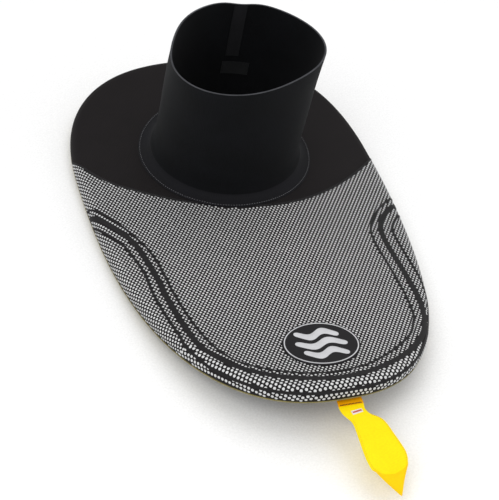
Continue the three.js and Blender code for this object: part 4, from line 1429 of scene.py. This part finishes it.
@dataclass
class GrabTab:
    """The yellow tab: one padded leaf on a strap that is sewn under the bow."""

    skew: float = 10.0
    droop: float = 6.0
    tip_droop: float = 34.0
    bend: float = 6.0
    root_out: float = 5.0
    patch_inset: float = 4.0
    stitch_inset: float = 2.6
    label_height: float = 1.75
    band_height: float = 2.3
    fold_reach: float = 9.0  # the cloth bends this far to either side of the fold
    edge_roundness: float = 0.42  # a flat leaf with a rounded edge
    puff: float = 0.18  # how much its middle swells
    core_inset: float = 6.0
    core_thickness: float = 1.4
    crease: float = 118.0
    crease_reach: float = 34.0  # the crease's curve starts this far before it
    crease_end: float = 150.0
    crease_bow: tuple[float, float] = (12.0, 6.0)  # how far it curves back at its left and right ends

    # distance from the fold, left and right half-widths and half-thickness
    OUTLINE = [
        (-44, 19, 18.6, 1.0), (-20, 19, 18.6, 1.0), (-6, 20.5, 18.4, 1.0), (0, 21.3, 17.6, 1.1),
        (5, 21.6, 16, 1.3), (9.5, 20.8, 15, 1.5), (14, 19, 15.3, 1.8), (20, 16.5, 17.2, 2.1),
        (25, 15.2, 21.4, 2.1), (30, 15.0, 26.6, 2.1), (37, 16.2, 30.8, 2.1), (47, 18.3, 32.8, 2.1),
        (62, 21.6, 33.4, 2.1), (80, 25.5, 34.4, 2.1), (94, 27.4, 34.4, 2.1), (103, 27.7, 32.3, 2.1),
        (110, 26.4, 29.0, 2.1), (117, 22.9, 24.6, 2.1), (123, 19.6, 20.0, 2.0), (132, 14.3, 13.6, 2.0),
        (139, 10.0, 9.2, 1.9), (145, 6.2, 5.6, 1.8), (149.5, 3.3, 3.0, 1.6), (152.5, 1.3, 1.2, 1.2),
        (153.6, 0.3, 0.3, 0.6),
    ]

    def build(self) -> None:
        """Makes the tab, its stiffener, label, stitches and the patch under the bow."""
        low, high = (np.array(corner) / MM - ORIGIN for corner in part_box("tab_strap"))
        ahead = -DECK.bow_reach - self.root_out
        self.fold = np.array([(low[0] + high[0]) / 2, ahead, (low[2] + high[2]) / 2])
        outline = rounded(np.array(self.OUTLINE, float), 1.8)
        self._leaf(outline)
        turn = np.linspace(0, 2 * np.pi, 33)[:-1]
        flat = self._flattened(turn)
        core = []
        for distance, left, right, _ in (o for o in outline if 22 < o[0] < 140):
            half = np.where(np.cos(turn) < 0, left - self.core_inset, right - self.core_inset)
            core.append(self._point(distance, flat * half, np.sin(turn) * self.core_thickness / 2))
        stiffener = loft("tab_stiffener_sheet", np.array(core), False, STIFFENER)
        settle(stiffener, "grab_tab", "tab_stiffener", "tab_core")
        self._plate("care_label", 9.0, 15.5, -8.0, 9.0, LABEL_PALE, "tab_label")
        self._plate("care_label_band", 11.0, 13.2, -6.6, 7.6, LABEL_RED, None)
        tack = [self._row(d, -17.0, 14.0) for d in (-3.6, -2.4)]
        self._hang(Stitching(THREAD_BLACK, 2.2, 1.9, 0.55).sew("tab_bar_tack", tack))
        yellow = Stitching(THREAD_YELLOW, 3.2, 2.3, 0.3).sew("tab_edge_stitches", self._margins(outline))
        settle(yellow, "grab_tab", "yellow_fabric")
        self._patch()

    def _leaf(self, outline: np.ndarray) -> None:
        """Makes the padded leaf, strap and tab in one: yellow, with painted shadow on the strap at its root
        and painted shade on the tip past the crease.

        Args:
            outline: the leaf's outline, as OUTLINE gives it.
        """
        turn = np.linspace(0, 2 * np.pi, 33)[:-1]
        flat = self._flattened(turn)
        rise = np.sign(np.sin(turn)) * np.abs(np.sin(turn)) ** 0.7
        sections = []
        for distance, _, _, thick in outline:
            half = np.array([self._half_width(outline, distance, f) for f in flat])
            swell = self.puff * (1 - np.abs(flat) ** 2)
            puff = 1 + swell * smooth(distance, 20, 60) * (1 - smooth(distance, 110, self.crease_end))
            ahead = self._curve(distance, flat)
            sections.append(self._point(distance, flat * half, rise * thick * puff, ahead))
        leaf = loft("grab_tab_leaf", np.array(sections), False, YELLOW, sharp=1.2)
        leaf.data.materials.append(YELLOW_PAINTED_ROOT_SHADOW.material())
        leaf.data.materials.append(YELLOW_PAINTED_TIP_SHADE.material())
        # Faces behind the fold take the orange yellow: painted shadow under the rim.
        painted_shadow_from_y = place(self.fold)[1]
        # Faces past the crease take the darker yellow: painted shade on the tip.
        tip = (outline[:, 0] > self.crease).argmax() * len(turn)
        for face in leaf.data.polygons:
            face.material_index = 1 if face.center.y > painted_shadow_from_y else 2 if min(face.vertices) >= tip else 0
        self._hang(leaf)
        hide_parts("tab_upper_ply", "tab_lower_ply", "tab_strap")

    def _patch(self) -> None:
        """Makes the patch that covers the strap's stitching under the bow."""
        low, high = (np.array(c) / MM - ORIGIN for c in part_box("strap_patch"))
        across = np.linspace(low[0] + self.patch_inset, high[0] - self.patch_inset, 9)
        along = np.linspace(low[1], high[1], 5)
        grid = np.array([(x, y) for x in across for y in along]).reshape(9, 5, 2)
        up, down = (np.concatenate([grid, np.full((9, 5, 1), z)], 2) for z in (high[2], low[2]))
        patch = loft("strap_patch_cloth", np.concatenate([up, down[:, ::-1]], 1), False, TAPE)
        settle(patch, "deck", "seam_tape", "strap_patch")

    def _flattened(self, turn: np.ndarray) -> np.ndarray:
        """Shares of the half-width at angles round a section."""
        side = np.cos(turn)
        return np.sign(side) * np.abs(side) ** self.edge_roundness

    def _half_width(self, outline: np.ndarray, distance: float, share: float) -> float:
        """Half-width on the side that a share is on, read where the curved section meets the edge."""
        edge = distance + self._curve(distance, np.array([np.sign(share)]))[0]
        return np.interp(edge, outline[:, 0], outline[:, 1 if share < 0 else 2])

    def _curve(self, distance: float, share: np.ndarray) -> np.ndarray:
        """How far points of a section lie ahead of its middle, so that the crease is an arc.

        Args:
            distance: how far the section is from the fold.
            share: the points' places across it, from -1 to 1.

        Returns:
            The distances ahead.
        """
        before = smooth(distance, self.crease - self.crease_reach, self.crease)
        near = float(before * (1 - smooth(distance, self.crease, self.crease_end)))
        return near * (4 - np.where(share < 0, *self.crease_bow) * share**2 - 3 * share**2)

    def _point(
        self, distance: float, across: np.ndarray, lift: np.ndarray, ahead: np.ndarray | float = 0.0
    ) -> np.ndarray:
        """Finds points of the leaf's section.

        Args:
            distance: how far the section is from the fold, along the leaf.
            across: the points' places across it.
            lift: their distances off its middle.
            ahead: how far they lie ahead of it.

        Returns:
            n by 3 points in the deck's plan frame.
        """
        steps = np.linspace(0, distance, 61) if distance > 0 else np.zeros(2)
        middle = (steps[1:] + steps[:-1]) / 2
        bent = smooth(middle, self.crease - self.bend / 2, self.crease + self.bend / 2)
        fall = np.radians(self.droop + (self.tip_droop - self.droop) * bent)
        run, skew = np.diff(steps), np.radians(self.skew)
        level, drop = (run * np.cos(fall)).sum(), (run * np.sin(fall)).sum()
        travel = np.array([level * np.sin(skew), -level * np.cos(skew), -drop])
        centre = self.fold + travel + np.array([0, -min(distance, 0), 0])
        turn = skew * float(smooth(distance, 0, 14))
        now = fall[-1] * float(smooth(distance, 0, 6))
        side = np.array([np.cos(turn), np.sin(turn), 0])
        up = np.array([np.sin(now) * np.sin(turn), -np.sin(now) * np.cos(turn), np.cos(now)])
        forward = np.cross(side, up)
        onward = np.broadcast_to(ahead, across.shape)[:, None] * forward
        return centre + across[:, None] * side + lift[:, None] * up + onward

    def _hang(self, piece: bpy.types.Object) -> None:
        """Bakes a piece's transform in place and logs it as hanging over the fold.

        Args:
            piece: the piece.
        """
        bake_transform(piece)
        LOG.info("%s: %d faces over the fold", piece.name, len(piece.data.polygons))

    def _row(self, distance: float, left: float, right: float) -> np.ndarray:
        """A row of points across the upper face, near the fold."""
        across = np.linspace(left, right, 12)
        return self._point(distance, across, np.full(12, 1.15))

    def _margins(self, outline: np.ndarray) -> list[np.ndarray]:
        """Finds stitch lines just inside both edges of the leaf.

        Args:
            outline: the leaf's outline, as OUTLINE gives it.

        Returns:
            The left line's points and the right line's.
        """
        lines = []
        for sign, edge in ((-1, -outline[:, 1]), (1, outline[:, 2])):
            line = []
            for distance, _, _, thick in (o for o in outline if 24 < o[0] < 152):
                shift = self._curve(distance, np.array([float(sign)]))
                across = np.interp(distance + shift, outline[:, 0], edge) - self.stitch_inset * sign
                line.append(self._point(distance, across, np.array([thick * 0.9]), shift)[0])
            lines.append(np.array(line))
        return lines

    def _plate(
        self, name: str, start: float, end: float, left: float, right: float, finish: Finish, node: str | None
    ) -> None:
        """Makes a small flat label on the leaf's upper face.

        Args:
            name: the piece's name.
            start: distance from the fold to its near edge.
            end: distance from the fold to its far edge.
            left: its left edge.
            right: its right edge.
            finish: its material.
            node: the CAD node that it replaces, if any; a band on the label has none and lies higher.
        """
        low = self.label_height if node else self.band_height
        across = np.linspace(left, right, 7)
        sections = []
        for distance in np.linspace(start, end, 6):
            face = self._point(distance, across, np.full(7, low + 0.6))
            back = self._point(distance, across[::-1], np.full(7, low - 0.9))
            sections.append(np.concatenate([face, back]))
        piece = loft(name, np.array(sections), False, finish)
        settle(piece, "grab_tab", "woven_label", *([node] if node else []))


@dataclass
class SeamWork:
    """Tape under the panel seam and the flat stitches over it."""

    form: DeckForm = DECK
    reach: float = 226.0
    width: float = 16.0
    swing: float = 1.6  # of the zigzag, to either side of the seam
    gap: float = 0.05

    def build(self) -> None:
        """Makes the tape and a zigzag of black thread."""
        x = np.linspace(-self.reach, self.reach, 150)
        path = np.column_stack([x, self.form.seam(x)])
        across = np.array([-0.5, -0.2, 0.2, 0.5, 0.5, 0.2, -0.2, -0.5]) * self.width
        lift = -self.form.sheet - np.array([*[self.gap] * 4, 0.9, 1.0, 1.0, 0.9])
        plan = path[:, None] + self._sideways(path)[:, None] * across[None, :, None]
        laid = self.form.lay(plan.reshape(-1, 2), np.tile(lift, len(x))).reshape(len(x), 8, 3)
        settle(loft("panel_seam_strip", laid, False, TAPE), "deck", "seam_tape", "panel_seam_tape")
        dense = rounded(path, 3.4)
        clear = np.hypot(dense[:, 0], dense[:, 1] - self.form.tube_y) > TUBE.toe + 3
        swing = np.where(np.arange(len(dense)) % 2 == 0, self.swing, -self.swing)[:, None]
        zigzag = self.form.lay(dense + self._sideways(dense) * swing, 0.1)
        runs = np.split(np.arange(len(dense)), np.where(np.diff(clear.astype(int)))[0] + 1)
        rows = [zigzag[r] for r in runs if clear[r[0]] and len(r) > 3]
        settle(Stitching(THREAD_BLACK, 1.9, 2.0, 0.28).sew("panel_seam_stitches", rows), "deck", "seam_tape")

    @staticmethod
    def _sideways(path: np.ndarray) -> np.ndarray:
        """Unit directions square to a path, at each of its points."""
        ahead = np.gradient(path, axis=0)
        return np.stack([-ahead[:, 1], ahead[:, 0]], 1) / np.linalg.norm(ahead, axis=1)[:, None]


# ---- Studio ---------------------------------------------------------------------------------------


@dataclass(frozen=True)
class Studio:
    """Camera, soft lights and a pale floor."""

    azimuth: float = -22.843
    elevation: float = 41.942
    roll: float = 8.46
    aim: tuple[float, float, float] = (-0.0362, -0.0009, 0.05)
    distance: float = 2.3248
    lens: float = 105.38
    floor: float = 14.0
    floor_drop: float = 0.0004
    world: float = 0.8
    # each light's name, place, width and power
    LIGHTS = [
        ("key", (-1.6, -1.4, 2.6), 2.2, 30.0),
        ("overhead", (0.4, 0.6, 3.0), 3.0, 26.0),
        ("fill", (2.2, -1.8, 1.6), 2.4, 10.0),
    ]

    def build(self) -> None:
        """Sets up the view and the light."""
        a, e, r = (np.radians(v) for v in (self.azimuth, self.elevation, self.roll))
        back = np.array([np.sin(a) * np.cos(e), -np.cos(a) * np.cos(e), np.sin(e)])
        right = np.array([np.cos(a), np.sin(a), 0])
        up = np.cross(back, right)
        across, rise = right * np.cos(r) + up * np.sin(r), up * np.cos(r) - right * np.sin(r)
        camera = bpy.data.objects.new("camera", bpy.data.cameras.new("camera"))
        bpy.context.scene.collection.objects.link(camera)
        camera.data.lens, camera.data.sensor_width = self.lens, 36.0
        matrix = Matrix((across, rise, back)).transposed().to_4x4()
        matrix.translation = Vector(np.array(self.aim) + back * self.distance)
        camera.matrix_world = matrix
        bpy.context.scene.camera = camera
        for name, where, size, power in self.LIGHTS:
            light = bpy.data.objects.new(name, bpy.data.lights.new(name, "AREA"))
            bpy.context.scene.collection.objects.link(light)
            light.data.shape, light.data.size, light.data.energy = "DISK", size, power
            light.location = where
            light.rotation_euler = (Vector((0, 0, 0.05)) - light.location).to_track_quat("-Z", "Y").to_euler()
        world = bpy.data.worlds.new("studio")
        bpy.context.scene.world = world
        world.use_nodes = True
        world.node_tree.nodes["Background"].inputs["Color"].default_value = (1, 1, 1, 1)
        world.node_tree.nodes["Background"].inputs["Strength"].default_value = self.world
        half, low = self.floor / 2, -self.floor_drop
        mesh = bpy.data.meshes.new("floor")
        corners = [(x * half, y * half, low) for x, y in ((-1, -1), (1, -1), (1, 1), (-1, 1))]
        mesh.from_pydata(corners, [], [(0, 1, 2, 3)])
        backdrop = Finish("painted_backdrop", Surface.MOULDED, "f8f8f8", "fafafa", 0.85,
                          pitch=3.0, depth=0.02, patch=900)
        mesh.materials.append(backdrop.material())
        link("floor", mesh)
        bpy.context.scene.view_settings.view_transform = "Standard"


def main() -> None:
    """Builds every sub-assembly in order."""
    logging.basicConfig(level=logging.INFO, format="%(name)s: %(message)s")
    Studio().build()
    Edge().build()
    DeckPanels().build()
    SeamWork().build()
    Print().build()
    Badge().build()
    WaistTube().build()
    GrabTab().build()


if __name__ == "__main__":
    main()
